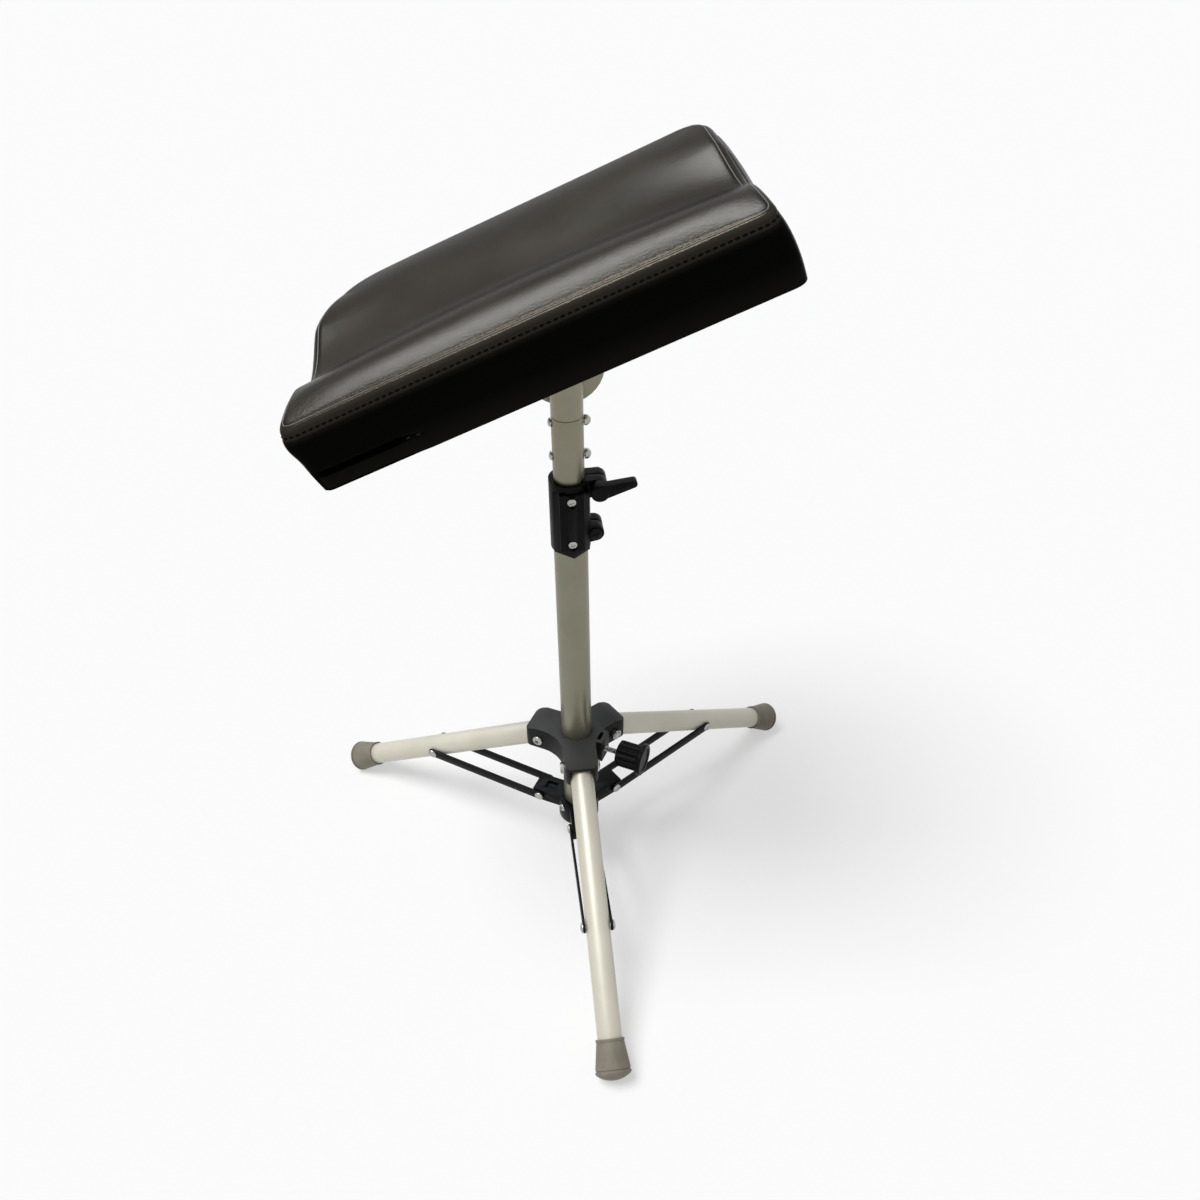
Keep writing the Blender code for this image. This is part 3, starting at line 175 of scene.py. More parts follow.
def blank(name):
    """A new material with its tree, its shader and the coordinates of its object."""
    material = bpy.data.materials.new(name)
    material.use_nodes = True
    tree = material.node_tree
    return material, tree, tree.nodes["Principled BSDF"], add(tree, "TexCoord", output="Object")


def noise(tree, where, grain, detail):
    """A noise in patches of about this size."""
    return add(tree, "TexNoise", {"Vector": where, "Scale": 1 / grain, "Detail": detail}, "Fac")


def ramp(tree, level, stops):
    """A colour that runs through stops, each of a place and a colour."""
    shade = add(tree, "ValToRGB", {"Fac": level}, "Color")
    elements = shade.node.color_ramp.elements
    while len(elements) < len(stops):
        elements.new(1.0)
    for stop, (place, colour) in zip(elements, stops):
        stop.position = place
        stop.color = (*colour, 1)
    return shade


def mapped(tree, value, source, target=(0, 1)):
    """A value carried from one span to another."""
    span = {"From Min": source[0], "From Max": source[1], "To Min": target[0], "To Max": target[1]}
    return add(tree, "MapRange", {"Value": value, **span}, "Result")


def finish(name, shades, patch, gloss, grain, relief, shine=0.5, metal=0.0, slot=None):
    """A look, which is a material with its slot. It drifts between two shades and two roughnesses."""
    material, tree, shader, where = blank(name)
    drift = noise(tree, where, patch, detail=5)
    bump = {"Height": noise(tree, where, grain, detail=3), "Distance": relief}
    look = {
        "Base Color": ramp(tree, drift, tuple(zip(SHADE_STOPS, shades))),
        "Roughness": mapped(tree, drift, DRIFT, gloss),
        "Normal": add(tree, "Bump", bump, "Normal"),
        "Specular IOR Level": shine,
        "Metallic": metal,
    }
    feed(tree, shader, look)
    return material, slot or name


def turned(profile, sides=TUBE_SIDES, closed=False):
    """A shape spun about Z from (radius, height) points. A closed profile leaves the axis open."""
    bm = bmesh.new()
    points = [bm.verts.new((radius, 0, height)) for radius, height in profile]
    pairs = list(zip(points, points[1:]))
    if closed:
        pairs.append((points[-1], points[0]))
    edges = [bm.edges.new(pair) for pair in pairs]
    around = {"axis": (0, 0, 1), "cent": (0, 0, 0), "steps": sides, "angle": 2 * math.pi}
    bmesh.ops.spin(bm, geom=points + edges, use_merge=True, **around)
    bmesh.ops.remove_doubles(bm, verts=bm.verts, dist=MERGE)
    bmesh.ops.recalc_face_normals(bm, faces=bm.faces)
    return bm


def rounded(bm, edges, width, segments):
    """Rounds these edges."""
    bmesh.ops.bevel(
        bm, geom=edges, offset=width, segments=segments,
        profile=0.5, affect="EDGES", clamp_overlap=True, material=-1,
    )
    return bm


def softened(bm, width, segments=3):
    """Rounds every sharp edge."""
    sharp = [edge for edge in bm.edges if edge.is_manifold and edge.calc_face_angle() > SHARP_TO_SOFTEN]
    return rounded(bm, sharp, width, segments)


def moved(bm, matrix):
    bmesh.ops.transform(bm, matrix=matrix, verts=bm.verts)
    return bm


def tube(outer, low, high):
    """A round tube about Z with deburred ends."""
    inner = outer - TUBE_WALL
    section = [(outer, high), (outer, low), (inner, low), (inner, high)]
    return softened(turned(section, closed=True), TUBE_EDGE)


def piece(name, bm, look, body, *replaced):
    """A finished piece that rides on a body and stands for CAD nodes."""
    material, slot = look
    made = meshed(name, bm)
    made.data.shade_smooth()
    made.data.set_sharp_from_angle(angle=SHARP_TO_SHADE)
    made.data.materials.append(material)
    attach(made, body)
    if replaced:
        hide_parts(*replaced)
    return made


def framed(place, x, y, z):
    """From coordinates along these axes about a place to the frame's."""
    return Matrix.Translation(place) @ Matrix((x, y, z)).transposed().to_4x4()


def leg_matrix(side):
    """From leg coordinates, with X down the leg from its pivot and Y across it, to the frame's."""
    hinge = hinges[f"leg_{side}_fold"]
    across = Vector(hinge["axis"])
    outward = across.cross((0, 0, 1))
    down = outward * math.cos(LEG_SLOPE) - Vector((0, 0, math.sin(LEG_SLOPE)))
    return framed(hinge["pos_m"], down, across, down.cross(across))


# Lit copy of the champagne paint: the legs' colour is written far lighter than the column's, as painted
# light from overhead on the legs, though legs and column share one paint.
LIT_LEG_PAINT = finish(
    "champagne_paint_lit_legs",
    ((0.59, 0.565, 0.475), (0.635, 0.61, 0.515)),
    patch=0.030, gloss=(0.42, 0.50), grain=0.0012, relief=0.000012, shine=0.5, metal=0.35,
    slot="champagne_paint",
)
for side in LEG_SIDES:
    leg = moved(tube(LEG_RADIUS, -LEG_TAIL, LEG_END), leg_matrix(side) @ ALONG_X)
    piece(f"leg_{side}", leg, LIT_LEG_PAINT, f"leg_{side}", f"leg_tube_{side}")

# The feet are moulded rubber cups pushed over the leg ends. The wall flares towards a lip, a groove
# runs under the lip, and the domed sole is worn flat where it meets the floor.
FOOT_END = 0.2338
FOOT_CUP = 0.0243
FOOT_MOUTH = 0.01075
FOOT_RIM = 0.01375
FOOT_SOCKET = 0.0098
FOOT_DOME, SOLE_STEPS = 0.005, 10
FOOT_LIP, FOOT_GROOVE = 0.0024, 0.0007
FOOT_FLARE = 0.9
BEAD_LEVELS = (0.00270, 0.00216, 0.00162)
BEAD_DIP, BEAD_RISE = 0.0002, 0.0003
FOOT_EDGE = 0.00025
FIT = 0.0003


def foot_profile():
    """From the middle of the sole, round the outside and down into the socket."""
    cap = (FOOT_RIM**2 + FOOT_DOME**2) / (2 * FOOT_DOME)
    reach = math.asin((FOOT_RIM - FOOT_GROOVE) / cap)
    turns = [reach * step / SOLE_STEPS for step in range(SOLE_STEPS + 1)]
    profile = [(cap * math.sin(t), FOOT_END + FOOT_DOME - cap + cap * math.cos(t)) for t in turns]
    lip, mouth = FOOT_END - FOOT_LIP, FOOT_END - FOOT_CUP
    neck = FOOT_MOUTH + (FOOT_RIM - FOOT_MOUTH) * FOOT_FLARE
    groove, step = neck - FOOT_GROOVE, lip + FOOT_GROOVE
    bead = FOOT_MOUTH + BEAD_RISE
    wall_end, dip, rise = (mouth + level for level in BEAD_LEVELS)
    profile += [(FOOT_RIM, FOOT_END - FOOT_GROOVE), (FOOT_RIM, step)]
    profile += [(groove, step), (groove, lip), (neck, lip - FOOT_GROOVE)]
    profile += [(FOOT_MOUTH, wall_end), (FOOT_MOUTH - BEAD_DIP, dip), (bead, rise), (bead, mouth)]
    return profile + [(FOOT_SOCKET, mouth), (FOOT_SOCKET, LEG_END + FIT), (0, LEG_END + FIT)]


RUBBER = finish(
    "foot_rubber",
    ((0.178, 0.158, 0.120), (0.218, 0.198, 0.155)),
    patch=0.008, gloss=(0.55, 0.70), grain=0.0006, relief=0.00003, shine=0.4,
)
for side in LEG_SIDES:
    foot = softened(turned(foot_profile()), FOOT_EDGE, segments=2)
    moved(foot, leg_matrix(side) @ ALONG_X)
    everything = foot.verts[:] + foot.edges[:] + foot.faces[:]
    level = {"plane_co": (0, 0, 0), "plane_no": (0, 0, -1), "clear_outer": True}
    worn = bmesh.ops.bisect_plane(foot, geom=everything, **level)["geom_cut"]
    bmesh.ops.holes_fill(foot, edges=[item for item in worn if isinstance(item, bmesh.types.BMEdge)])
    piece(f"rubber_foot_{side}", foot, RUBBER, f"leg_{side}", f"foot_{side}")

# The braces are pairs of flat steel bars in black paint, one on each side of a leg. A steel rivet
# through the leg carries both, and each has a rivet head of its own where it meets the collar.
BRACE_PIN_PLACE = 0.1274
BRACE_LENGTH = 0.1073
BRACE_WIDTH = 0.0085
BRACE_THICKNESS = 0.002
BRACE_INNER = 0.0098
BRACE_EDGE = 0.0003
RIVET_SHANK = 0.0022
RIVET_HEAD = 0.004
RIVET_HEIGHT = 0.0018
RIVET_SIDES = 48
FULL_ROUND = 0.995


def oblong(x_low, x_high, y_low, y_high):
    """The corners of an oblong in X and Y."""
    return [(x_low, y_low), (x_high, y_low), (x_high, y_high), (x_low, y_high)]


def plate(corners, low, high):
    """A flat plate from its corners in X and Y, between two heights."""
    bm = bmesh.new()
    face = bm.faces.new([bm.verts.new((x, y, low)) for x, y in corners])
    raised = bmesh.ops.extrude_face_region(bm, geom=[face])["geom"]
    lifted = [item for item in raised if isinstance(item, bmesh.types.BMVert)]
    bmesh.ops.translate(bm, verts=lifted, vec=(0, 0, high - low))
    bmesh.ops.recalc_face_normals(bm, faces=bm.faces)
    return bm


def round_corners(bm, radius, segments=12):
    """Rounds the upright edges of a plate."""
    upright = [edge for edge in bm.edges if abs(edge.verts[0].co.z - edge.verts[1].co.z) > MERGE]
    return rounded(bm, upright, radius, segments)


def dome(radius, base, height, steps=8):
    """Points of a low dome from its rim up to its middle."""
    turns = [math.radians(90) * step / steps for step in range(steps + 1)]
    return [(radius * math.cos(t), base + height * math.sin(t)) for t in turns[:-1]] + [(0, base + height)]


def brace_matrix(side):
    """From bar coordinates, with X from the leg's rivet to the collar and Z across, to the frame's."""
    pin = Vector(hinges[f"brace_{side}_fold"]["pos_m"])
    low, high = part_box(f"collar_pin_{side}")
    along = ((low + high) / 2 - pin).normalized()
    across = Vector(hinges[f"leg_{side}_fold"]["axis"])
    return framed(pin, along, across.cross(along), across)


BLACK_PAINT = finish(
    "black_paint",
    ((0.004, 0.004, 0.004), (0.007, 0.007, 0.0065)),
    patch=0.012, gloss=(0.32, 0.48), grain=0.0008, relief=0.00002, shine=0.10,
)
STEEL = finish(
    "bright_steel",
    ((0.31, 0.31, 0.30), (0.44, 0.44, 0.42)),
    patch=0.003, gloss=(0.20, 0.34), grain=0.0004, relief=0.000008, metal=1.0,
)
for side in LEG_SIDES:
    head_seat = BRACE_INNER + BRACE_THICKNESS + FIT
    upper = dome(RIVET_HEAD, head_seat, RIVET_HEIGHT)[::-1] + [(RIVET_SHANK, head_seat)]
    rivet = turned(upper + [(radius, -height) for radius, height in reversed(upper)], RIVET_SIDES)
    moved(rivet, leg_matrix(side) @ Matrix.Translation((BRACE_PIN_PLACE, 0, 0)) @ ALONG_Y)
    piece(f"leg_rivet_{side}", rivet, STEEL, f"leg_{side}", f"brace_pin_{side}")
    for hand, sign in (("a", 1), ("b", -1)):
        near, far = sorted((sign * BRACE_INNER, sign * (BRACE_INNER + BRACE_THICKNESS)))
        half, end = BRACE_WIDTH / 2, BRACE_LENGTH + BRACE_WIDTH / 2
        bar = plate(oblong(-half, end, -half, half), near, far)
        softened(round_corners(bar, FULL_ROUND * half), BRACE_EDGE, segments=2)
        moved(bar, brace_matrix(side))
        bar_name = f"brace_bar_{side}_{hand}"
        piece(f"flat_{bar_name}", bar, BLACK_PAINT, f"brace_{side}", bar_name)
        face = BRACE_INNER + BRACE_THICKNESS
        under = [(0, face - FIT), (RIVET_HEAD, face - FIT)]
        head = turned(under + dome(RIVET_HEAD, face, RIVET_HEIGHT), RIVET_SIDES)
        facing = turning(90 - 90 * sign, "X")
        moved(head, brace_matrix(side) @ Matrix.Translation((BRACE_LENGTH, 0, 0)) @ facing)
        piece(f"collar_rivet_{side}_{hand}", head, STEEL, f"brace_{side}")

# The hub is one moulding of dark grey plastic: a ring that slides on the column, three slotted arms
# that take the legs, and a square boss for the lock. Its edges have a small mould radius. Its sides
# are painted near black as painted shade, and its upper faces lighter as painted light from above.
HUB_EDGE = 0.0007
FLAT_WITHIN = math.radians(0.5)
UPWARD_PAINTED_LIGHT = (0.060, 0.060, 0.058, 1)
UPWARD_LIGHT_SPAN = (0.55, 0.95)


def copied(name):
    """A CAD node's mesh with its triangles joined up into whole faces."""
    bm = bmesh.new()
    bm.from_mesh(frame["nodes"][name].data)
    bmesh.ops.remove_doubles(bm, verts=bm.verts, dist=MERGE)
    bmesh.ops.dissolve_limit(bm, angle_limit=FLAT_WITHIN, verts=bm.verts, edges=bm.edges)
    return bm


def lit_from_above(look):
    """Paints faces that look up lighter, as painted light from above."""
    tree = look[0].node_tree
    base = tree.nodes["Principled BSDF"].inputs["Base Color"]
    facing = add(tree, "NewGeometry", output="Normal")
    upward_share = mapped(tree, add(tree, "SeparateXYZ", {"Vector": facing}, "Z"), UPWARD_LIGHT_SPAN)
    own = base.links[0].from_socket
    tree.links.new(add(tree, "MixRGB", {"Fac": upward_share, "Color1": own, "Color2": UPWARD_PAINTED_LIGHT}), base)
    return look


# Near-black shades, darker than the hub's own grey: painted shade on its sides, while its upper faces are
# painted lighter below.
GREY_PLASTIC = finish(
    "grey_plastic",
    ((0.006, 0.006, 0.0055), (0.009, 0.009, 0.008)),
    patch=0.010, gloss=(0.42, 0.55), grain=0.0005, relief=0.00004, shine=0.12,
)
hub = softened(copied("hub"), HUB_EDGE)
piece("hub_moulding", hub, lit_from_above(GREY_PLASTIC), "hub", "hub")

# Each leg turns on a steel button-head screw with a hexagon socket, held by a plain hexagon nut on
# the other cheek of the arm.
ARM_FACE = 0.0138
PIVOT_SHANK = 0.0025
PIVOT_HEAD, PIVOT_SOCKET = (0.0046, 0.0024), (0.0016, 0.0015)
NUT_CORNER, NUT_HEIGHT = 0.0048, 0.0032
NUT_FACE, COUNTERSINK, CHAMFER_STEPS = 0.0002, 0.0003, 5
SOCKET_LIP, SOCKET_MOUTH, SOCKET_RIM = 0.0002, 1.2, 1.25


def reshaped(bm, rule):
    """Gives every point of a turned shape a new radius from its radius, turn and height."""
    for vertex in bm.verts:
        x, y, z = vertex.co
        radius = math.hypot(x, y)
        if radius > MERGE:
            grown = rule(radius, math.atan2(y, x), z) / radius
            vertex.co = (x * grown, y * grown, z)
    return bm


def hexagon_reach(flat, turn):
    """How far a hexagon reaches at this turn, from its distance to a flat."""
    return flat / math.cos(turn % math.radians(60) - math.radians(30))


def socket_screw(shank, low, seat, head, hexagon):
    """A screw along Z: its button head as radius and height, the socket in it as radius and depth."""
    socket, depth = hexagon
    rim = [point for point in dome(head[0], seat, head[1], steps=12) if point[0] > SOCKET_RIM * socket]
    top = rim[-1][1]
    profile = [(0, top - depth), (socket, top - depth)]
    profile += [(socket, top - SOCKET_LIP), (SOCKET_MOUTH * socket, top)]
    bm = turned(profile + rim[::-1] + [(shank, seat), (shank, low), (0, low)])

    def six_sided(radius, turn, level):
        in_socket = abs(radius - socket) < MERGE and level > seat
        return hexagon_reach(socket, turn) if in_socket else radius

    return reshaped(bm, six_sided)


def hexagon_nut(corner, hole, low, high):
    """A hexagon nut along Z, chamfered at both ends."""
    flat = corner * math.cos(math.radians(30))
    drop = (corner - flat) * math.tan(math.radians(30))
    steps = [step / CHAMFER_STEPS for step in range(CHAMFER_STEPS + 1)]
    face, mouth = flat - NUT_FACE, hole + COUNTERSINK
    rim = [(face + (corner - face) * s, high - drop * s) for s in steps]
    rim += [(radius, low + high - height) for radius, height in reversed(rim)]
    inner = [(hole, low + COUNTERSINK), (hole, high - COUNTERSINK)]
    bm = turned([(mouth, high)] + rim + [(mouth, low)] + inner, closed=True)
    return reshaped(bm, lambda r, t, z: min(r, hexagon_reach(flat, t)))


for side in LEG_SIDES:
    to_pivot = leg_matrix(side) @ ALONG_Y
    tail = ARM_FACE + NUT_HEIGHT
    screw = moved(socket_screw(PIVOT_SHANK, -tail, ARM_FACE, PIVOT_HEAD, PIVOT_SOCKET), to_pivot)
    piece(f"pivot_screw_{side}", screw, STEEL, "hub", f"pivot_bolt_{side}")
    nut = moved(hexagon_nut(NUT_CORNER, PIVOT_SHANK + FIT, -tail, -ARM_FACE), to_pivot)
    piece(f"pivot_hexagon_{side}", nut, STEEL, "hub", f"pivot_nut_{side}")

# The hub is locked to the column by a threaded steel screw with a fluted black plastic knob. It runs
# through a square nut that lies in a pocket of the boss.
STAND = Matrix.Translation((0, 0.055533, 0))
PIVOT_LEVEL = 0.128208
LOCK_TURN = -30
LOCK_SCREW_RADIUS = 0.0023
LOCK_SCREW_START = 0.0128
LOCK_KNOB_START = 0.038
NUT_EDGE = 0.0003
KNOB_BARREL, KNOB_BARREL_LENGTH = 0.0102, 0.019
KNOB_FLANGE, KNOB_FLANGE_HEIGHT = 0.0135, 0.0042
KNOB_FLUTES, KNOB_FLUTE_DEPTH, FLUTE_FACES = 12, 0.0009, 12
KNOB_EDGE, KNOB_SIDE_STEPS = 0.0008, 6
KNOB_THREAD = 0.013
FLUTED_FROM = 0.9
THREAD_PITCH, THREAD_DEPTH, THREAD_SIDES = 0.0008, 0.00035, 24


def at_level(height):
    """From coordinates about the column's axis at this height to the frame's."""
    return STAND @ Matrix.Translation((0, 0, height))


def threaded(radius, low, high):
    """A rod along Z with a cut thread, spun as one helix."""
    bm = bmesh.new()
    turns = round((high - low) / THREAD_PITCH) - 1
    root = radius - THREAD_DEPTH
    ridge = [(root, 0, low), (radius, 0, low + THREAD_PITCH / 2), (root, 0, low + THREAD_PITCH)]
    points = [bm.verts.new(spot) for spot in ridge]
    edges = [bm.edges.new(pair) for pair in zip(points, points[1:])]
    around = {"axis": (0, 0, 1), "cent": (0, 0, 0), "dvec": (0, 0, THREAD_PITCH / THREAD_SIDES)}
    run = {"steps": THREAD_SIDES * turns, "angle": 2 * math.pi * turns}
    bmesh.ops.spin(bm, geom=points + edges, **around, **run)
    bmesh.ops.remove_doubles(bm, verts=bm.verts, dist=MERGE)
    bmesh.ops.holes_fill(bm, edges=[edge for edge in bm.edges if edge.is_boundary])
    bmesh.ops.recalc_face_normals(bm, faces=bm.faces)
    return bm


def fluted_knob(hole, start):
    """A fluted barrel along Z with a wider flange at its outer end and a blind hole at the other."""
    barrel, flange, edge = KNOB_BARREL, KNOB_FLANGE, KNOB_EDGE
    middle = start + KNOB_BARREL_LENGTH
    end = middle + KNOB_FLANGE_HEIGHT
    side = [KNOB_BARREL_LENGTH * step / KNOB_SIDE_STEPS for step in range(1, KNOB_SIDE_STEPS)]
    profile = [(0, start + KNOB_THREAD), (hole, start + KNOB_THREAD), (hole, start)]
    profile += [(barrel - edge, start), (barrel, start + edge)]
    profile += [(barrel, start + height) for height in side]
    profile += [(barrel, middle - edge), (barrel + edge, middle), (flange - edge, middle)]
    profile += [(flange, middle + edge), (flange, end - edge), (flange - edge, end)]
    profile += [(barrel, end), (barrel - edge, end - edge), (0, end - edge)]

    def flute(radius, turn, height):
        on_barrel = start + edge / 2 < height < middle - edge / 2 and radius > FLUTED_FROM * barrel
        return radius + KNOB_FLUTE_DEPTH * math.cos(KNOB_FLUTES * turn) if on_barrel else radius

    return reshaped(turned(profile, FLUTE_FACES * KNOB_FLUTES), flute)


BLACK_PLASTIC = finish(
    "black_plastic",
    ((0.0030, 0.0030, 0.0030), (0.0055, 0.0055, 0.0050)),
    patch=0.008, gloss=(0.30, 0.42), grain=0.0005, relief=0.00003, shine=0.06,
)
to_lock = at_level(PIVOT_LEVEL) @ turning(LOCK_TURN, "Z") @ ALONG_X
lock_nut = softened(copied("hub_lock_nut"), NUT_EDGE, segments=2)
piece("hub_square_nut", lock_nut, STEEL, "hub", "hub_lock_nut")
lock_screw = threaded(LOCK_SCREW_RADIUS, LOCK_SCREW_START, LOCK_KNOB_START + KNOB_THREAD - FIT)
piece("hub_thread", moved(lock_screw, to_lock), STEEL, "hub_knob", "hub_lock_screw")
lock_knob = moved(fluted_knob(LOCK_SCREW_RADIUS + FIT, LOCK_KNOB_START), to_lock)
piece("hub_knob_fluted", lock_knob, BLACK_PLASTIC, "hub_knob", "hub_lock_knob")

# The column is a wider painted tube that slides through the hub. A plastic plug closes its lower end,
# and a black collar clamped there by a screw carries the pins of the braces.
COLUMN_RADIUS = 0.0125
COLUMN_LOW, COLUMN_HIGH = 0.04055, 0.376
COLLAR_EDGE = 0.0006
COLLAR_LEVEL = 0.05355
COLLAR_ARM_TOP = 0.05905
COLLAR_RING = 0.0175
COLLAR_SCREW_TURN = -150
COLLAR_SCREW_SHANK = 0.002
COLLAR_HEAD, COLLAR_SOCKET = (0.0036, 0.002), (0.0013, 0.0012)
COLLAR_SLOT = (0.021, 0.031, -0.004, 0.004)
COLLAR_SLOT_DEPTH = 0.0025
LEFT_TURN = 150


def finished(bm, change):
    """The mesh after a modifier that this function sets up on a working object."""
    working = meshed("working", bm)
    change(working)
    result = bmesh.new()
    result.from_object(working, bpy.context.evaluated_depsgraph_get())
    bpy.data.meshes.remove(working.data)
    return result


def combined(shape, tool, operation):
    """Two closed shapes joined, or the second cut out of the first."""
    other = meshed("working", tool)

    def combine(working):
        boolean = working.modifiers.new("combine", "BOOLEAN")
        boolean.operation = operation
        boolean.solver = "EXACT"
        boolean.object = other

    result = finished(shape, combine)
    bpy.data.meshes.remove(other.data)
    bmesh.ops.remove_doubles(result, verts=result.verts, dist=MERGE)
    return result


def coated(name, look):
    """Gives a CAD node that stays in sight the material of a look."""
    frame["nodes"][name].data.materials.clear()
    frame["nodes"][name].data.materials.append(look[0])


# The column's copy of the champagne paint, far darker than the legs' copy: the gap between the two copies
# is painted shade on the column and painted light on the legs, not two paints.
PAINT = finish(
    "champagne_paint",
    ((0.232, 0.220, 0.158), (0.258, 0.246, 0.180)),
    patch=0.030, gloss=(0.32, 0.40), grain=0.0012, relief=0.000012, shine=0.4, metal=0.6,
)
column = moved(tube(COLUMN_RADIUS, COLUMN_LOW, COLUMN_HIGH), STAND)
piece("column", column, PAINT, "column", "column_tube")
coated("column_end_plug", BLACK_PLASTIC)
slot_low, slot_high = COLLAR_ARM_TOP - COLLAR_SLOT_DEPTH, COLLAR_ARM_TOP + COLLAR_SLOT_DEPTH
slot_tool = moved(plate(oblong(*COLLAR_SLOT), slot_low, slot_high), STAND @ turning(LEFT_TURN, "Z"))
collar = softened(combined(copied("lower_collar"), slot_tool, "DIFFERENCE"), COLLAR_EDGE)
piece("brace_collar", collar, BLACK_PLASTIC, "column", "lower_collar")
collar_low, collar_seat = COLUMN_RADIUS + FIT, COLLAR_RING + FIT
collar_screw = socket_screw(COLLAR_SCREW_SHANK, collar_low, collar_seat, COLLAR_HEAD, COLLAR_SOCKET)
moved(collar_screw, at_level(COLLAR_LEVEL) @ turning(COLLAR_SCREW_TURN, "Z") @ ALONG_X)
piece("collar_set_screw", collar_screw, STEEL, "column", "collar_screw")
for side in LEG_SIDES:
    pin = softened(copied(f"collar_pin_{side}"), NUT_EDGE, segments=2)
    piece(f"collar_cross_pin_{side}", pin, STEEL, "column", f"collar_pin_{side}")

# The height clamp is a split black moulding screwed to the top of the column. Its front comes to an
# edge, with two cross-head screws sunk in pockets, and there are two pairs of ears at its slit.
CLAMP_EDGE = 0.0006
CLAMP_LOW = 0.334
PANEL_FACE = 0.0165
MAST_CLEAR = 0.0113
PANEL_SCREW_LEVELS = {"upper": 0.3805, "lower": 0.3445}
PANEL_SCREW_SHANK, PANEL_SCREW_HEAD, PANEL_SCREW_HEIGHT = 0.0018, 0.0032, 0.0014
EAR_SCREW_PLACE = (0.017, 0, 0.347)
EAR_HALF = 0.00825
EAR_SCREW_SHANK, EAR_SCREW_HEAD, EAR_SCREW_HEIGHT = 0.0025, 0.0048, 0.0018
CROSS_REACH, CROSS_WIDTH, CROSS_DEPTH, CROSS_TURN = 0.62, 0.2, 0.0009, 20
SCREW_SIDES = 64
PROW_OUTSIDE = ((-0.0126, -0.0086), (0.0006, -0.0190), (0.0130, -0.0088))
PROW_INSIDE = ((0.0106, -0.0086), (0.006, -0.0122), (0, -0.0136), (-0.006, -0.0122), (-0.0105, -0.0086))
PROW_HIGH = 0.3850
POCKET, POCKET_END, POCKET_SIDES = 0.0044, 0.024, 32
TOWARDS_FRONT = turning(90, "X")


def cross_screw(shank, low, seat, head, height):
    """A domed screw along Z with a cross recess in its head."""
    bm = turned([(0, low), (shank, low), (shank, seat)] + dome(head, seat, height), SCREW_SIDES)
    reach, width, top = CROSS_REACH * head, CROSS_WIDTH * head / 2, seat + height
    for turn in (CROSS_TURN, CROSS_TURN + 90):
        bar = plate(oblong(-reach, reach, -width, width), top - CROSS_DEPTH, top + height)
        bm = combined(bm, moved(bar, turning(turn, "Z")), "DIFFERENCE")
    return bm


prow = plate(PROW_OUTSIDE + PROW_INSIDE, CLAMP_LOW, PROW_HIGH)
for level in PANEL_SCREW_LEVELS.values():
    pocket = turned([(0, 0), (POCKET, 0), (POCKET, POCKET_END), (0, POCKET_END)], POCKET_SIDES)
    prow = combined(prow, moved(pocket, Matrix.Translation((0, 0, level)) @ TOWARDS_FRONT), "DIFFERENCE")
clamp = softened(combined(copied("clamp_body"), moved(prow, STAND), "UNION"), CLAMP_EDGE)
piece("height_clamp", clamp, BLACK_PLASTIC, "column", "clamp_body")
for place, level in PANEL_SCREW_LEVELS.items():
    tip = COLUMN_RADIUS + FIT if level < COLUMN_HIGH else MAST_CLEAR
    screw = cross_screw(PANEL_SCREW_SHANK, tip, PANEL_FACE + FIT, PANEL_SCREW_HEAD, PANEL_SCREW_HEIGHT)
    moved(screw, at_level(level) @ TOWARDS_FRONT)
    piece(f"panel_screw_{place}", screw, STEEL, "column", f"clamp_front_screw_{place}")
ear_screw = cross_screw(EAR_SCREW_SHANK, -EAR_HALF, EAR_HALF + FIT, EAR_SCREW_HEAD, EAR_SCREW_HEIGHT)
moved(ear_screw, STAND @ Matrix.Translation(EAR_SCREW_PLACE) @ TOWARDS_FRONT)
piece("ear_screw", ear_screw, (BLACK_PAINT[0], "bright_steel"), "column", "clamp_ear_screw")

# The clamp is worked by a small black plastic lever. Its round boss turns on a stud through the upper
# ears, with a nut behind, and its tapered arm has a ribbed patch for the thumb and a thicker tip.
LEVER_EDGE = 0.0008
LEVER_OFFSET, LEVER_LEVEL, LEVER_TURN = 0.020, 0.3855, 14
LEVER_PLACE = at_level(LEVER_LEVEL) @ Matrix.Translation((LEVER_OFFSET, 0, 0)) @ TOWARDS_FRONT
LEVER_ALONG = LEVER_PLACE @ turning(LEVER_TURN, "Z")
LEVER_FACE = 0.01655
RIB_START, RIB_PITCH, RIBS = 0.0110, 0.0013, 6
RIB_WIDTH, RIB_REACH, RIB_HEIGHT = 0.0006, 0.0027, 0.0004
LEVER_NUT_LOW, LEVER_NUT_HIGH = -0.01255, -0.00855
LEVER_STUD_END = 0.01525

lever = softened(copied("clamp_lever"), LEVER_EDGE)
for rib in range(RIBS):
    low = RIB_START + rib * RIB_PITCH
    corners = oblong(low, low + RIB_WIDTH, -RIB_REACH, RIB_REACH)
    ridge = plate(corners, LEVER_FACE - RIB_HEIGHT, LEVER_FACE + RIB_HEIGHT)
    lever = combined(lever, moved(ridge, LEVER_ALONG), "UNION")
piece("thumb_lever", lever, BLACK_PLASTIC, "clamp_lever", "clamp_lever")
stud = moved(threaded(EAR_SCREW_SHANK, LEVER_NUT_LOW, LEVER_STUD_END), LEVER_PLACE)
piece("lever_thread", stud, STEEL, "clamp_lever", "lever_stud")
lever_nut = hexagon_nut(EAR_SCREW_HEAD, EAR_SCREW_SHANK + FIT, LEVER_NUT_LOW, LEVER_NUT_HIGH)
piece("lever_hexagon", moved(lever_nut, LEVER_PLACE), STEEL, "column", "lever_nut")

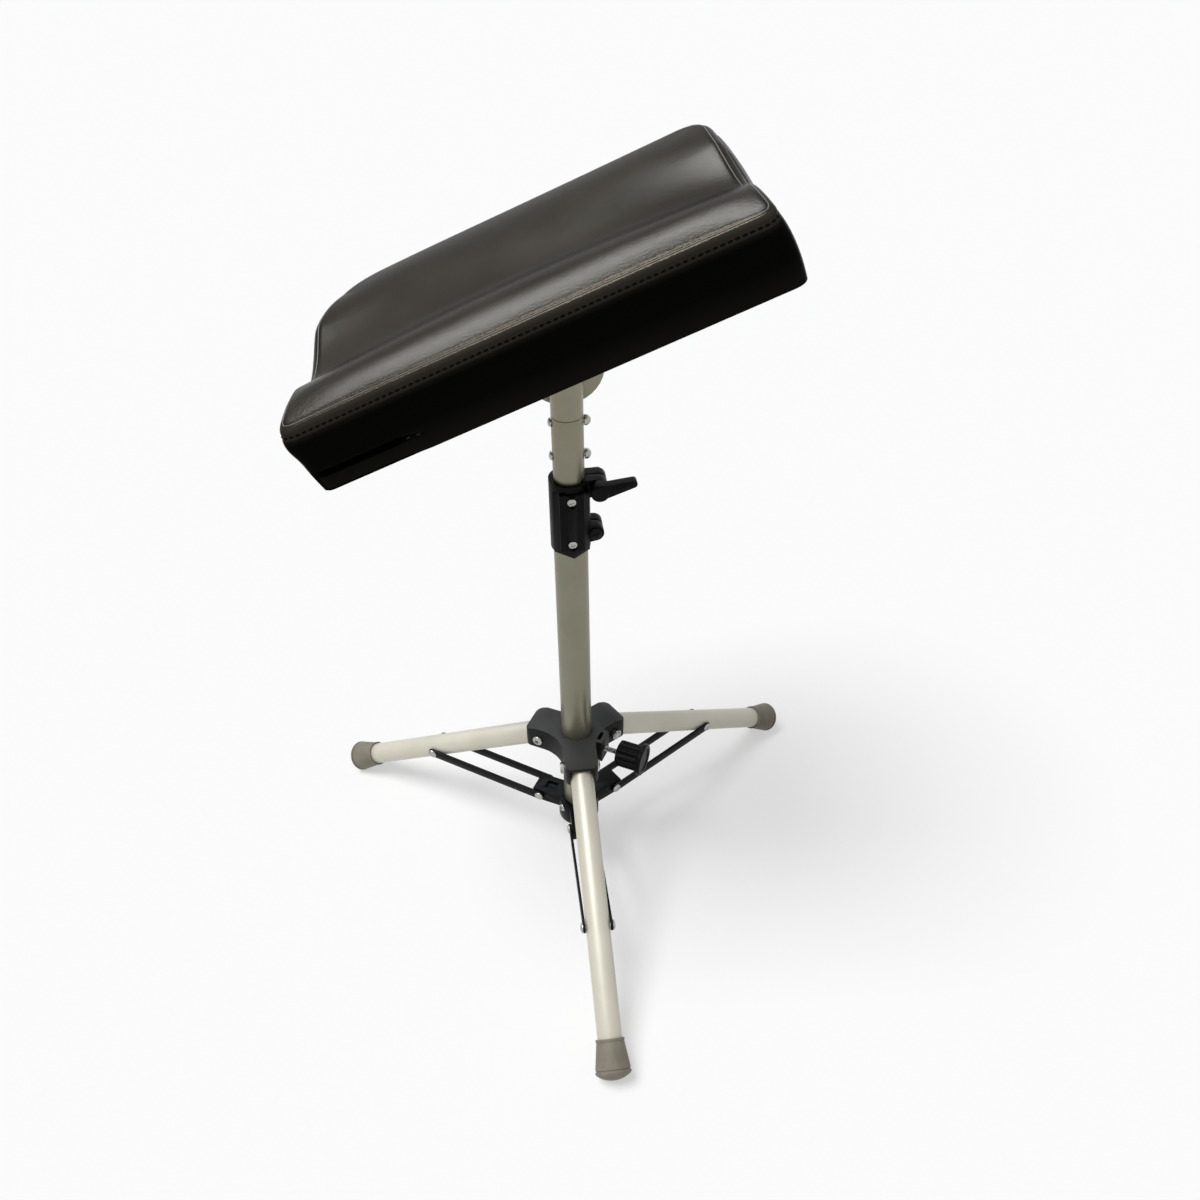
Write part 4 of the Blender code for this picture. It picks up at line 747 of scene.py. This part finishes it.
# The mast is a painted tube that slides in the column on a nylon bush. The neck above it is a tube of
# the same width, and a steel spigot inside both is held by two bolts with cap nuts.
MAST_RADIUS = 0.011
UPPER_TUBES = {"mast": (0.180, 0.440), "neck": (0.4403, 0.482)}
SPLICE_LEVELS = {"upper": 0.435, "lower": 0.409}
SPLICE_SHANK = 0.002
SPLICE_HEAD, SPLICE_HEAD_HEIGHT = 0.0033, 0.002
CAP_NUT, CAP_NUT_HEIGHT, CAP_NUT_ROOF = 0.0038, 0.0046, 0.001
ALONG_MINUS_X = turning(-90, "Y")

NYLON = finish(
    "white_nylon",
    ((0.68, 0.67, 0.63), (0.75, 0.74, 0.70)),
    patch=0.006, gloss=(0.42, 0.55), grain=0.0006, relief=0.00002, shine=0.5,
)
for name, span in UPPER_TUBES.items():
    upper_tube = moved(tube(MAST_RADIUS, *span), STAND)
    piece(name, upper_tube, PAINT, "mast", f"{name}_tube")
coated("mast_glide_bush", NYLON)
coated("neck_spigot", STEEL)
coated("neck_plug", BLACK_PLASTIC)
for place, level in SPLICE_LEVELS.items():
    at_bolt = at_level(level)
    seat = MAST_RADIUS + FIT
    nut_end = seat + CAP_NUT_HEIGHT
    inside = nut_end - CAP_NUT_ROOF
    bolt = [(0, FIT - inside), (SPLICE_SHANK, FIT - inside), (SPLICE_SHANK, seat)]
    bolt = turned(bolt + dome(SPLICE_HEAD, seat, SPLICE_HEAD_HEIGHT), SCREW_SIDES)
    moved(bolt, at_bolt @ ALONG_MINUS_X)
    piece(f"splice_screw_{place}", bolt, STEEL, "mast", f"splice_bolt_{place}")
    hole = SPLICE_SHANK + FIT
    cap = [(0, inside), (hole, inside), (hole, seat)]
    cap += [(CAP_NUT - NUT_EDGE, seat), (CAP_NUT, seat + NUT_EDGE)]
    cap = turned(cap + dome(CAP_NUT, nut_end - CAP_NUT, CAP_NUT, steps=12), SCREW_SIDES)
    moved(cap, at_bolt @ ALONG_X)
    piece(f"cap_nut_{place}", cap, STEEL, "mast", f"splice_nut_{place}")

# The pad tilts on a painted bracket: a flange screwed under the board, with one round cheek beside
# the neck. A stud with a washer and a fluted knob behind clamps the cheek.
TILT_LEVEL, PAD_TILT = 0.468, 22
TILT = at_level(TILT_LEVEL)
TO_PAD = TILT @ turning(-PAD_TILT, "Y")
BRACKET_EDGE = 0.0006
TILT_STUD, TILT_STUD_LOW = 0.003, -0.007
TILT_KNOB_START = 0.0164
BOARD_SCREWS = {"a": (0.029, 0.023), "b": (-0.029, 0.023), "c": (-0.029, -0.023), "d": (0.029, -0.023)}
BOARD_SCREW_SHANK, BOARD_SCREW_HEAD, BOARD_SCREW_HEIGHT = 0.002, 0.0038, 0.0018
BOARD_SCREW_TIP, FLANGE_LOW = 0.046, 0.0347
OVER = turning(180, "X")

bracket = softened(copied("tilt_bracket"), BRACKET_EDGE)
piece("tilt_plate", bracket, PAINT, "pad", "tilt_bracket")
tilt_stud = threaded(TILT_STUD, TILT_STUD_LOW, TILT_KNOB_START + KNOB_THREAD - FIT)
piece("tilt_thread", moved(tilt_stud, TILT @ ALONG_Y), STEEL, "tilt_knob", "tilt_stud")
washer = softened(copied("tilt_washer"), NUT_EDGE, segments=2)
piece("tilt_plain_washer", washer, STEEL, "mast", "tilt_washer")
tilt_knob = moved(fluted_knob(TILT_STUD + FIT, TILT_KNOB_START), TILT @ ALONG_Y)
piece("tilt_knob_fluted", tilt_knob, BLACK_PLASTIC, "tilt_knob", "tilt_knob")
for letter, (x, y) in BOARD_SCREWS.items():
    screw = cross_screw(
        BOARD_SCREW_SHANK, -BOARD_SCREW_TIP, FIT - FLANGE_LOW, BOARD_SCREW_HEAD, BOARD_SCREW_HEIGHT
    )
    moved(screw, TO_PAD @ Matrix.Translation((x, y, 0)) @ OVER)
    piece(f"board_screw_{letter}", screw, STEEL, "pad", f"bracket_screw_{letter}")

# The pad is built on a plywood board with rounded corners. It is screwed to the flange of the bracket,
# and the cover hides all but the middle of its underside.
PLY_LAYER, WAVE_LENGTH = 0.0014, 20
PLY_SHADES = ((0.35, (0.36, 0.24, 0.13)), (0.95, (0.56, 0.42, 0.26)))
PLY_GRAIN = (20, 500, 500)
PLY_LAYERS_SHOWN = 0.35
PLY_GLOSS, PLY_RELIEF = (0.6, 0.85), 0.0001


def plywood():
    """Veneers stacked through the board's thickness, with the grain drawn along the board."""
    material, tree, shader, where = blank("plywood")
    tilted = {"Vector": where, "Rotation": (0, math.radians(PAD_TILT), 0)}
    level = add(tree, "Mapping", tilted)
    stacked = {"Vector": level, "Scale": 1 / PLY_LAYER / WAVE_LENGTH}
    layers = add(tree, "TexWave", stacked, "Fac", bands_direction="Z")
    drawn = add(tree, "Mapping", {"Vector": level, "Scale": PLY_GRAIN})
    grain = noise(tree, drawn, 1.0, detail=6)
    both = add(tree, "Math", {0: layers, 1: PLY_LAYERS_SHOWN, 2: grain}, operation="MULTIPLY_ADD")
    look = {
        "Base Color": ramp(tree, both, PLY_SHADES),
        "Roughness": mapped(tree, grain, (0, 1), PLY_GLOSS),
        "Normal": add(tree, "Bump", {"Height": grain, "Distance": PLY_RELIEF}, "Normal"),
    }
    feed(tree, shader, look)
    return material, "plywood"


coated("pad_board", plywood())

# The pad is a foam trough in black leather cloth. A top panel and a side band are sewn together along
# a welt with a row of topstitching under it, pulled down over the board and turned under as a hem.
PAD_DROP = 0.0365
PAD_SHIFT = 0.002
TOP_WIDTH = 0.168
TOP_RIGHT = (0.1413, -0.0032, 0.0015)
TOP_LEFT = (0.1375, -0.0088, 0.0020)
BASE_LENGTH, BASE_WIDTH = 0.303, 0.168
FRONT_CORNER, BACK_RIGHT_CORNER, BACK_LEFT_CORNER = 0.008, 0.017, 0.046
BASE_BACK_LEFT_CORNER = 0.030
BACK_LEFT_DROOP, DROOP_ALONG, DROOP_ACROSS = 0.002, 3, 2
SEAM_HEIGHT, FRONT_RIDGE, BACK_RIDGE = 0.048, 0.0548, 0.0505
FRONT_OFFSET, BACK_OFFSET = 0.060, 0.058
ROLL = 1.8
VALLEY_HEIGHT, VALLEY_END, VALLEY_PLACE, VALLEY_BEND = 0.0450, 0.038, -0.014, 4
LEFT_BULGE, LEFT_FULLNESS, LEFT_BEND = 0.0032, 0.0013, 6
END_ROLL, END_BEND, SIDE_DRAW = 0.005, 8, 0.0015
SIDE_BULGE, BULGE_RISE = 0.0018, 0.6
TOP_SLACK, SLACK_BEND = 0.0012, 6
COVER, HEM, HEM_TURN = 0.0012, 0.020, 0.0006
BOARD_EDGE, BOARD_TOP = 0.0046, 0.0483
GRID = (72, 48)
BAND = (0.0012, 0.0035, 0.0062, 0.0070, 0.0078)
SIDE_STEPS = 6
FOOT_OF_SIDE = (0.0125, 0.0118, 0.0111, 0.0075, 0.0035, 0.0010, 0.0)
STITCH_ROW = 0.0070
SWELL_LIMIT, SWELL_FRAMES, EVENING, EVENING_SHARE = 0.003, 20, 12, 0.5
HELD_EDGE = 0.0012
CLOTH = {
    "quality": 6,
    "mass": 0.3,
    "tension_stiffness": 15,
    "compression_stiffness": 15,
    "shear_stiffness": 5,
    "bending_stiffness": 0.5,
    "use_pressure": True,
    "uniform_pressure_force": 4.0,
    "vertex_group_mass": "held",
}
EASE = 0.4


def rounded_plan(x, y, half_length, half_width, back_left, inset=0.0):
    """Draws a point of a rectangle into the pad's rounded plan, and gives the way out of it there."""
    corner = FRONT_CORNER
    if y > 0:
        corner = BACK_RIGHT_CORNER if x > 0 else back_left
    corner -= min(inset, corner / 2)
    past = Vector((abs(x) - half_length + corner, abs(y) - half_width + corner))
    way = Vector((max(past.x, 0), max(past.y, 0)))
    spot = Vector((abs(x), abs(y)))
    if min(past) > 0:
        spot = Vector((half_length - corner, half_width - corner)) + past * (max(past) / past.length)
    if way.length:
        way.normalize()
    signs = Vector((math.copysign(1, x), math.copysign(1, y)))
    return spot * signs, way * signs


def crown(x, y):
    """Height of the top: a trough along the pad between two rolled ridges. X is a share of its length."""
    across = min(abs(y), TOP_WIDTH / 2)
    ridge, offset = (BACK_RIDGE, BACK_OFFSET) if y > VALLEY_PLACE else (FRONT_RIDGE, FRONT_OFFSET)
    if across < offset:
        up = abs(y - VALLEY_PLACE) / (offset + math.copysign(VALLEY_PLACE, y - VALLEY_PLACE))
        valley = VALLEY_HEIGHT + (VALLEY_END - VALLEY_HEIGHT) * x**VALLEY_BEND
        height = valley + (ridge - valley) * (1 - math.cos(math.pi * up)) / 2
    else:
        fall = (across - offset) / (TOP_WIDTH / 2 - offset)
        height = ridge - (ridge - SEAM_HEIGHT) * fall**ROLL
    risen = max(height - SEAM_HEIGHT, 0) / (FRONT_RIDGE - SEAM_HEIGHT)
    return height - END_ROLL * abs(x) ** END_BEND * risen


def top_place(a, b):
    """A point of the top panel from its share of the length and width, each from -1 to 1."""
    mean = (TOP_RIGHT[0] + TOP_LEFT[0]) / 2
    (x, y), _ = rounded_plan(a * mean, b * TOP_WIDTH / 2, mean, TOP_WIDTH / 2, BACK_LEFT_CORNER)
    middle, lean, bow = TOP_RIGHT if a > 0 else TOP_LEFT
    slack = TOP_SLACK * (1 - max(abs(a), abs(b)) ** SLACK_BEND)
    droop = BACK_LEFT_DROOP * max(-a, 0) ** DROOP_ALONG * max(b, 0) ** DROOP_ACROSS
    spot = (x / mean * (middle + lean * b + bow * b * b), y * (1 - 2 * SIDE_DRAW / TOP_WIDTH * (1 - a * a)))
    return Vector((*spot, PAD_DROP + crown(x / mean, y) - slack - droop))


def base_place(a, b, inset=0.0):
    """A point of the pad's lower edge, and the way out of it."""
    half_length, half_width = BASE_LENGTH / 2 - inset, BASE_WIDTH / 2 - inset
    flat = (a * half_length, b * half_width, half_length, half_width)
    (x, y), way = rounded_plan(*flat, BASE_BACK_LEFT_CORNER, inset)
    return Vector((PAD_SHIFT + x, y, PAD_DROP)), way.to_3d()


def eased(share):
    """Spreads places from -1 to 1 a little closer together towards the ends."""
    return (1 - EASE) * share + EASE * math.sin(math.pi / 2 * share)


def let_down(bm, edges, place):
    """Extrudes a rim of edges and puts every new point where the old one's shares say."""
    grown = bmesh.ops.extrude_edge_only(bm, edges=edges)["geom"]
    edges = [item for item in grown if isinstance(item, bmesh.types.BMEdge) and item.is_boundary]
    for vertex in {vertex for edge in edges for vertex in edge.verts}:
        place(vertex)
    return edges


def swell(working):
    """Air pressure in a short cloth simulation. The sewn band and the lower edge are held."""
    layer = working.data.attributes["below"].data
    above = working.data.attributes["above"].data
    held = working.vertex_groups.new(name="held")
    for index, (down, up) in enumerate(zip(layer, above)):
        if 0 <= down.value <= BAND[-1] + MERGE or up.value < HELD_EDGE:
            held.add([index], 1.0, "REPLACE")
    cloth = working.modifiers.new("swell", "CLOTH")
    for name, value in CLOTH.items():
        setattr(cloth.settings, name, value)
    cloth.settings.effector_weights.gravity = 0
    cloth.point_cache.frame_start = 1
    cloth.point_cache.frame_end = SWELL_FRAMES
    for step in range(1, SWELL_FRAMES + 1):
        scene.frame_set(step)


def kept_values(bm):
    """What every point keeps: its shares of length and width, its depth below the seam and its height."""
    layers = bm.verts.layers.float
    return [layers.get(name) or layers.new(name) for name in ("along", "across", "below", "above")]


def refine(working):
    smoother = working.modifiers.new("refine", "SUBSURF")
    smoother.levels = smoother.render_levels = 1


skin = bmesh.new()
along_share, across_share, below_seam, above_base = kept_values(skin)
bmesh.ops.create_grid(skin, x_segments=GRID[0], y_segments=GRID[1], size=1)
for vertex in skin.verts:
    a, b = eased(vertex.co.x), eased(vertex.co.y)
    vertex[along_share], vertex[across_share] = a, b
    vertex[below_seam] = -min((1 - abs(a)) * TOP_RIGHT[0], (1 - abs(b)) * TOP_WIDTH / 2)
    vertex[above_base] = SEAM_HEIGHT
    vertex.co = top_place(a, b)
rim = [edge for edge in skin.edges if edge.is_boundary]
for step in range(len(BAND) + SIDE_STEPS - 1 + len(FOOT_OF_SIDE)):

    def side_place(vertex):
        seam = top_place(vertex[along_share], vertex[across_share])
        base, way = base_place(vertex[along_share], vertex[across_share])
        height = seam.z - PAD_DROP
        if step < len(BAND):
            below = BAND[step]
        elif step < len(BAND) + SIDE_STEPS - 1:
            share = (step - len(BAND) + 1) / SIDE_STEPS
            below = BAND[-1] + (height - FOOT_OF_SIDE[0] - BAND[-1]) * share
        else:
            below = height - FOOT_OF_SIDE[step - len(BAND) - SIDE_STEPS + 1]
        share = below / height
        out = way * SIDE_BULGE * math.sin(math.pi * share**BULGE_RISE)
        vertex.co = seam.lerp(base, 1 - (1 - share) ** 2) + out
        corner = max(-vertex[along_share], 0) ** LEFT_BEND * (1 - vertex[across_share]) / 2
        bulge = LEFT_BULGE * max(math.sin(2 * math.pi * share), 0)
        bulge += LEFT_FULLNESS * math.sin(math.pi * share)
        vertex.co.x -= corner * bulge
        vertex.co.z = seam.z - below
        vertex[below_seam], vertex[above_base] = below, height - below

    rim = let_down(skin, rim, side_place)
bmesh.ops.recalc_face_normals(skin, faces=skin.faces)
start = [vertex.co.copy() for vertex in skin.verts]
skin = finished(skin, swell)
shifts = [vertex.co - spot for vertex, spot in zip(skin.verts, start)]
for _ in range(EVENING):
    around = [[edge.other_vert(vertex).index for edge in vertex.link_edges] for vertex in skin.verts]
    evened = [sum((shifts[i] for i in near), Vector()) / len(near) for near in around]
    pairs = list(zip(shifts, evened))
    shifts = [old if old.length < MERGE else old.lerp(new, EVENING_SHARE) for old, new in pairs]
for vertex, spot, shift in zip(skin.verts, start, shifts):
    limited = SWELL_LIMIT * math.tanh(shift.length / SWELL_LIMIT)
    vertex.co = spot + shift.normalized() * limited
skin = finished(skin, refine)
along_share, across_share, below_seam, above_base = kept_values(skin)

WELT_DIP, WELT_WIDTH = 0.0006, 0.0011
BAND_PUFF = 0.0005
STITCH_DIP, STITCH_WIDTH = 0.0007, 0.0009
FOLD_LEVEL, FOLD_WIDTH, FOLD_DIP = 0.0118, 0.0009, 0.0034
FOLD_END = -0.078
FOLD_TUCK, FOLD_FADE = 0.0014, 0.015
FRONT_FACING = -0.6
LIP_START, LIP_HEIGHT, LIP_PAINTED_GLINT, GLINT_BREAKS = 1e-5, 0.0010, 0.0077, -0.2
PUCKER_LENGTH, PUCKER_DEPTH, PUCKER_SPREAD = 0.009, 0.0004, 0.004

skin.normal_update()
for vertex in skin.verts:
    below, above = vertex[below_seam], vertex[above_base]
    push = -WELT_DIP * math.exp(-((below / WELT_WIDTH) ** 2))
    push -= STITCH_DIP * math.exp(-(((below - STITCH_ROW) / STITCH_WIDTH) ** 2))
    if 0 < below < STITCH_ROW:
        push += BAND_PUFF * math.sin(math.pi * below / STITCH_ROW)
    if vertex.normal.y < FRONT_FACING and below > BAND[-1]:
        fade = min(max((FOLD_END - vertex.co.x) / FOLD_FADE, 0), 1)
        push -= fade * FOLD_DIP * math.exp(-(((above - FOLD_LEVEL) / FOLD_WIDTH) ** 2))
        push -= fade * FOLD_TUCK if above < FOLD_LEVEL else 0
        pucker = math.sin(2 * math.pi * vertex.co.x / PUCKER_LENGTH)
        push += fade * PUCKER_DEPTH * pucker * math.exp(-(((above - FOLD_LEVEL) / PUCKER_SPREAD) ** 2))
        # A thin line along the fold's lower lip takes a lighter shade from the cover's colour ramp: a
        # painted glint, broken where the puckers dip.
        if fade * pucker > GLINT_BREAKS and fade > 0 and LIP_START < FOLD_LEVEL - above < LIP_HEIGHT:
            vertex[below_seam] = LIP_PAINTED_GLINT
    vertex.co += vertex.normal * push

rim = [edge for edge in skin.edges if edge.is_boundary]
for inset, height in (
    (HEM_TURN, 0.0),
    (HEM, 0.0),
    (HEM, COVER),
    (BOARD_EDGE, COVER),
    (BOARD_EDGE, BOARD_TOP - PAD_DROP),
):

    def turn_under(vertex):
        vertex.co = base_place(vertex[along_share], vertex[across_share], inset)[0]
        vertex.co.z += height
        vertex[below_seam] = SEAM_HEIGHT

    rim = let_down(skin, rim, turn_under)
bmesh.ops.holes_fill(skin, edges=rim)
bmesh.ops.recalc_face_normals(skin, faces=skin.faces)


def ring_points(level):
    """Points of the skin at this distance below the seam, in order round the pad, with their normals."""
    ring = [vertex for vertex in skin.verts if abs(vertex[below_seam] - level) < MERGE]
    ring.sort(key=lambda vertex: math.atan2(vertex.co.y, vertex.co.x - PAD_SHIFT))
    return [(vertex.co.copy(), vertex.normal.copy()) for vertex in ring]


skin.normal_update()
seam_ring = ring_points(0.0)
stitch_ring = ring_points(STITCH_ROW)

# The cover's colour by depth below the seam. Past the top's own tone these are painted shade and painted
# light: a painted dark strip just above the seam, a lighter painted band under the welt, painted shade down
# the side, and a little lighter near the board.
LEATHER_TONE_AND_PAINTED_SHADE = (
    (0.030, (0.046, 0.041, 0.033)),
    (0.075, (0.024, 0.021, 0.017)),
    (0.107, (0.024, 0.021, 0.017)),
    (0.138, (0.034, 0.030, 0.024)),
    (0.183, (0.021, 0.018, 0.014)),
    (0.245, (0.018, 0.016, 0.012)),
    (0.268, (0.0060, 0.0055, 0.0042)),
    (0.330, (0.0014, 0.0014, 0.0011)),
    (0.643, (0.0016, 0.0015, 0.0012)),
    (0.929, (0.0050, 0.0047, 0.0037)),
)
PAINTED_SHADE_SPAN = (-0.006, 0.050)
LEATHER_GLOSS = (0.21, 0.27)
LEATHER_EDGE_GLOSS = (0.5, 0.5, 0.5, 1)
LEATHER_SHEEN, LEATHER_SHINE = 0.93, 0.2
PEBBLE, PEBBLE_RELIEF, PEBBLE_STRENGTH = 0.0013, 0.00014, 0.6
CREASE, CREASE_RELIEF = 0.012, 0.0001
WEAR, WEAR_SHADES = 0.06, (0.88, 1.10)


def leather():
    """Leather cloth: a dark coat over shallow pebbles and creases, with painted shade and light by depth
    below the seam.
    """
    material, tree, shader, where = blank("black_leather_cloth")
    pebbles = {"Vector": where, "Scale": 1 / PEBBLE, "Detail": 1.0}
    pebbles = add(tree, "TexVoronoi", pebbles, "Distance", feature="F1")
    wear = noise(tree, where, WEAR, detail=5)
    down = mapped(tree, add(tree, "Attribute", output="Fac", attribute_name="below"), PAINTED_SHADE_SPAN)
    coat = {"Vector": ramp(tree, down, LEATHER_TONE_AND_PAINTED_SHADE), "Scale": mapped(tree, wear, DRIFT, WEAR_SHADES)}
    fine = {"Height": pebbles, "Distance": PEBBLE_RELIEF, "Strength": PEBBLE_STRENGTH}
    broad = {"Height": noise(tree, where, CREASE, detail=4), "Distance": CREASE_RELIEF}
    look = {
        "Base Color": add(tree, "VectorMath", coat, "Vector", operation="SCALE"),
        "Roughness": mapped(tree, wear, DRIFT, LEATHER_GLOSS),
        "Normal": add(tree, "Bump", {**broad, "Normal": add(tree, "Bump", fine)}),
        "Metallic": LEATHER_SHEEN,
        "Specular IOR Level": LEATHER_SHINE,
        "Specular Tint": LEATHER_EDGE_GLOSS,
    }
    feed(tree, shader, look)
    return material, "black_vinyl"


pad = piece("pad", moved(skin, TO_PAD), leather(), "pad", "pad_cover", "pad_foam")

# The seam is closed with a narrow welt of the same cloth, folded over, and coloured lighter than the
# cloth as a painted highlight along its fold. The row below it is sewn in black thread, one stitch
# sunk after another.
WELT_RADIUS, WELT_PROUD = 0.00038, 0.0002
STITCH_PITCH, STITCH_LENGTH, STITCH_THICK = 0.0042, 0.0032, 0.0015


def cord_round(points, radius):
    """A round cord laid along a closed line of points."""
    line = bpy.data.curves.new("line", "CURVE")
    line.dimensions = "3D"
    line.bevel_depth = radius
    line.bevel_resolution = 2
    spline = line.splines.new("POLY")
    spline.points.add(len(points) - 1)
    for spot, place in zip(spline.points, points):
        spot.co = (*place, 1)
    spline.use_cyclic_u = True
    working = linked("working", line)
    laid = bpy.data.meshes.new_from_object(working.evaluated_get(bpy.context.evaluated_depsgraph_get()))
    bm = bmesh.new()
    bm.from_mesh(laid)
    bpy.data.curves.remove(line)
    bpy.data.meshes.remove(laid)
    bmesh.ops.remove_doubles(bm, verts=bm.verts, dist=MERGE)
    bmesh.ops.recalc_face_normals(bm, faces=bm.faces)
    return bm


WELT_PAINTED_HIGHLIGHT = finish(
    "welt_cloth_painted_highlight",
    ((0.076, 0.069, 0.055), (0.108, 0.098, 0.079)),
    patch=0.006, gloss=(0.40, 0.52), grain=0.0008, relief=0.00004, shine=0.5, slot="black_vinyl",
)
welt = cord_round([spot + way * WELT_PROUD for spot, way in seam_ring], WELT_RADIUS)
piece("pad_welt", moved(welt, TO_PAD), WELT_PAINTED_HIGHLIGHT, "pad")
THREAD = finish(
    "black_thread",
    ((0.0010, 0.0010, 0.0010), (0.0030, 0.0030, 0.0027)),
    patch=0.002, gloss=(0.6, 0.8), grain=0.0003, relief=0.00004, shine=0.05, slot="black_vinyl",
)
stitches = bmesh.new()
walked, due = 0.0, 0.0
for (spot, way), (ahead, _) in zip(stitch_ring, stitch_ring[1:] + stitch_ring[:1]):
    run = (ahead - spot).length
    while due < walked + run:
        middle = spot.lerp(ahead, (due - walked) / run)
        along = (ahead - spot).normalized()
        out = (way - along * way.dot(along)).normalized()
        size = Matrix.Diagonal((STITCH_LENGTH / 2, STITCH_THICK / 2, STITCH_THICK / 2, 1))
        set_in = TO_PAD @ framed(middle, along, out.cross(along), out) @ size
        bmesh.ops.create_uvsphere(stitches, u_segments=8, v_segments=5, radius=1, matrix=set_in)
        due += STITCH_PITCH
    walked += run
piece("pad_topstitch", stitches, THREAD, "pad")

# The hem of the cover is stapled to the underside of the board, in one row a little way in from the
# edge. The staples are steel wire, and only their flattened crowns show.
STAPLE_LENGTH, STAPLE_WIDTH, STAPLE_HEIGHT = 0.0100, 0.0012, 0.0006
STAPLE_EDGE = 0.0002
STAPLE_INSET, STAPLE_REACH = 0.0115, 0.84
LONG_ROW, SHORT_ROW = 13, 7

staples = bmesh.new()
crown_plan = oblong(-STAPLE_LENGTH / 2, STAPLE_LENGTH / 2, -STAPLE_WIDTH / 2, STAPLE_WIDTH / 2)
for row, turn in ((LONG_ROW, 0), (SHORT_ROW, 90)):
    for step in range(row):
        share = STAPLE_REACH * (2 * (step + 0.5) / row - 1)
        for edge in (-1, 1):
            spot, _ = base_place(*((share, edge) if turn == 0 else (edge, share)), STAPLE_INSET)
            staple = softened(plate(crown_plan, -STAPLE_HEIGHT, STAPLE_HEIGHT / 2), STAPLE_EDGE, segments=2)
            pressed = Matrix.Translation(spot) @ turning(turn, "Z")
            moved(staple, TO_PAD @ pressed)
            wire = bpy.data.meshes.new("wire")
            staple.to_mesh(wire)
            staples.from_mesh(wire)
            staple.free()
            bpy.data.meshes.remove(wire)
piece("hem_staples", staples, STEEL, "pad")
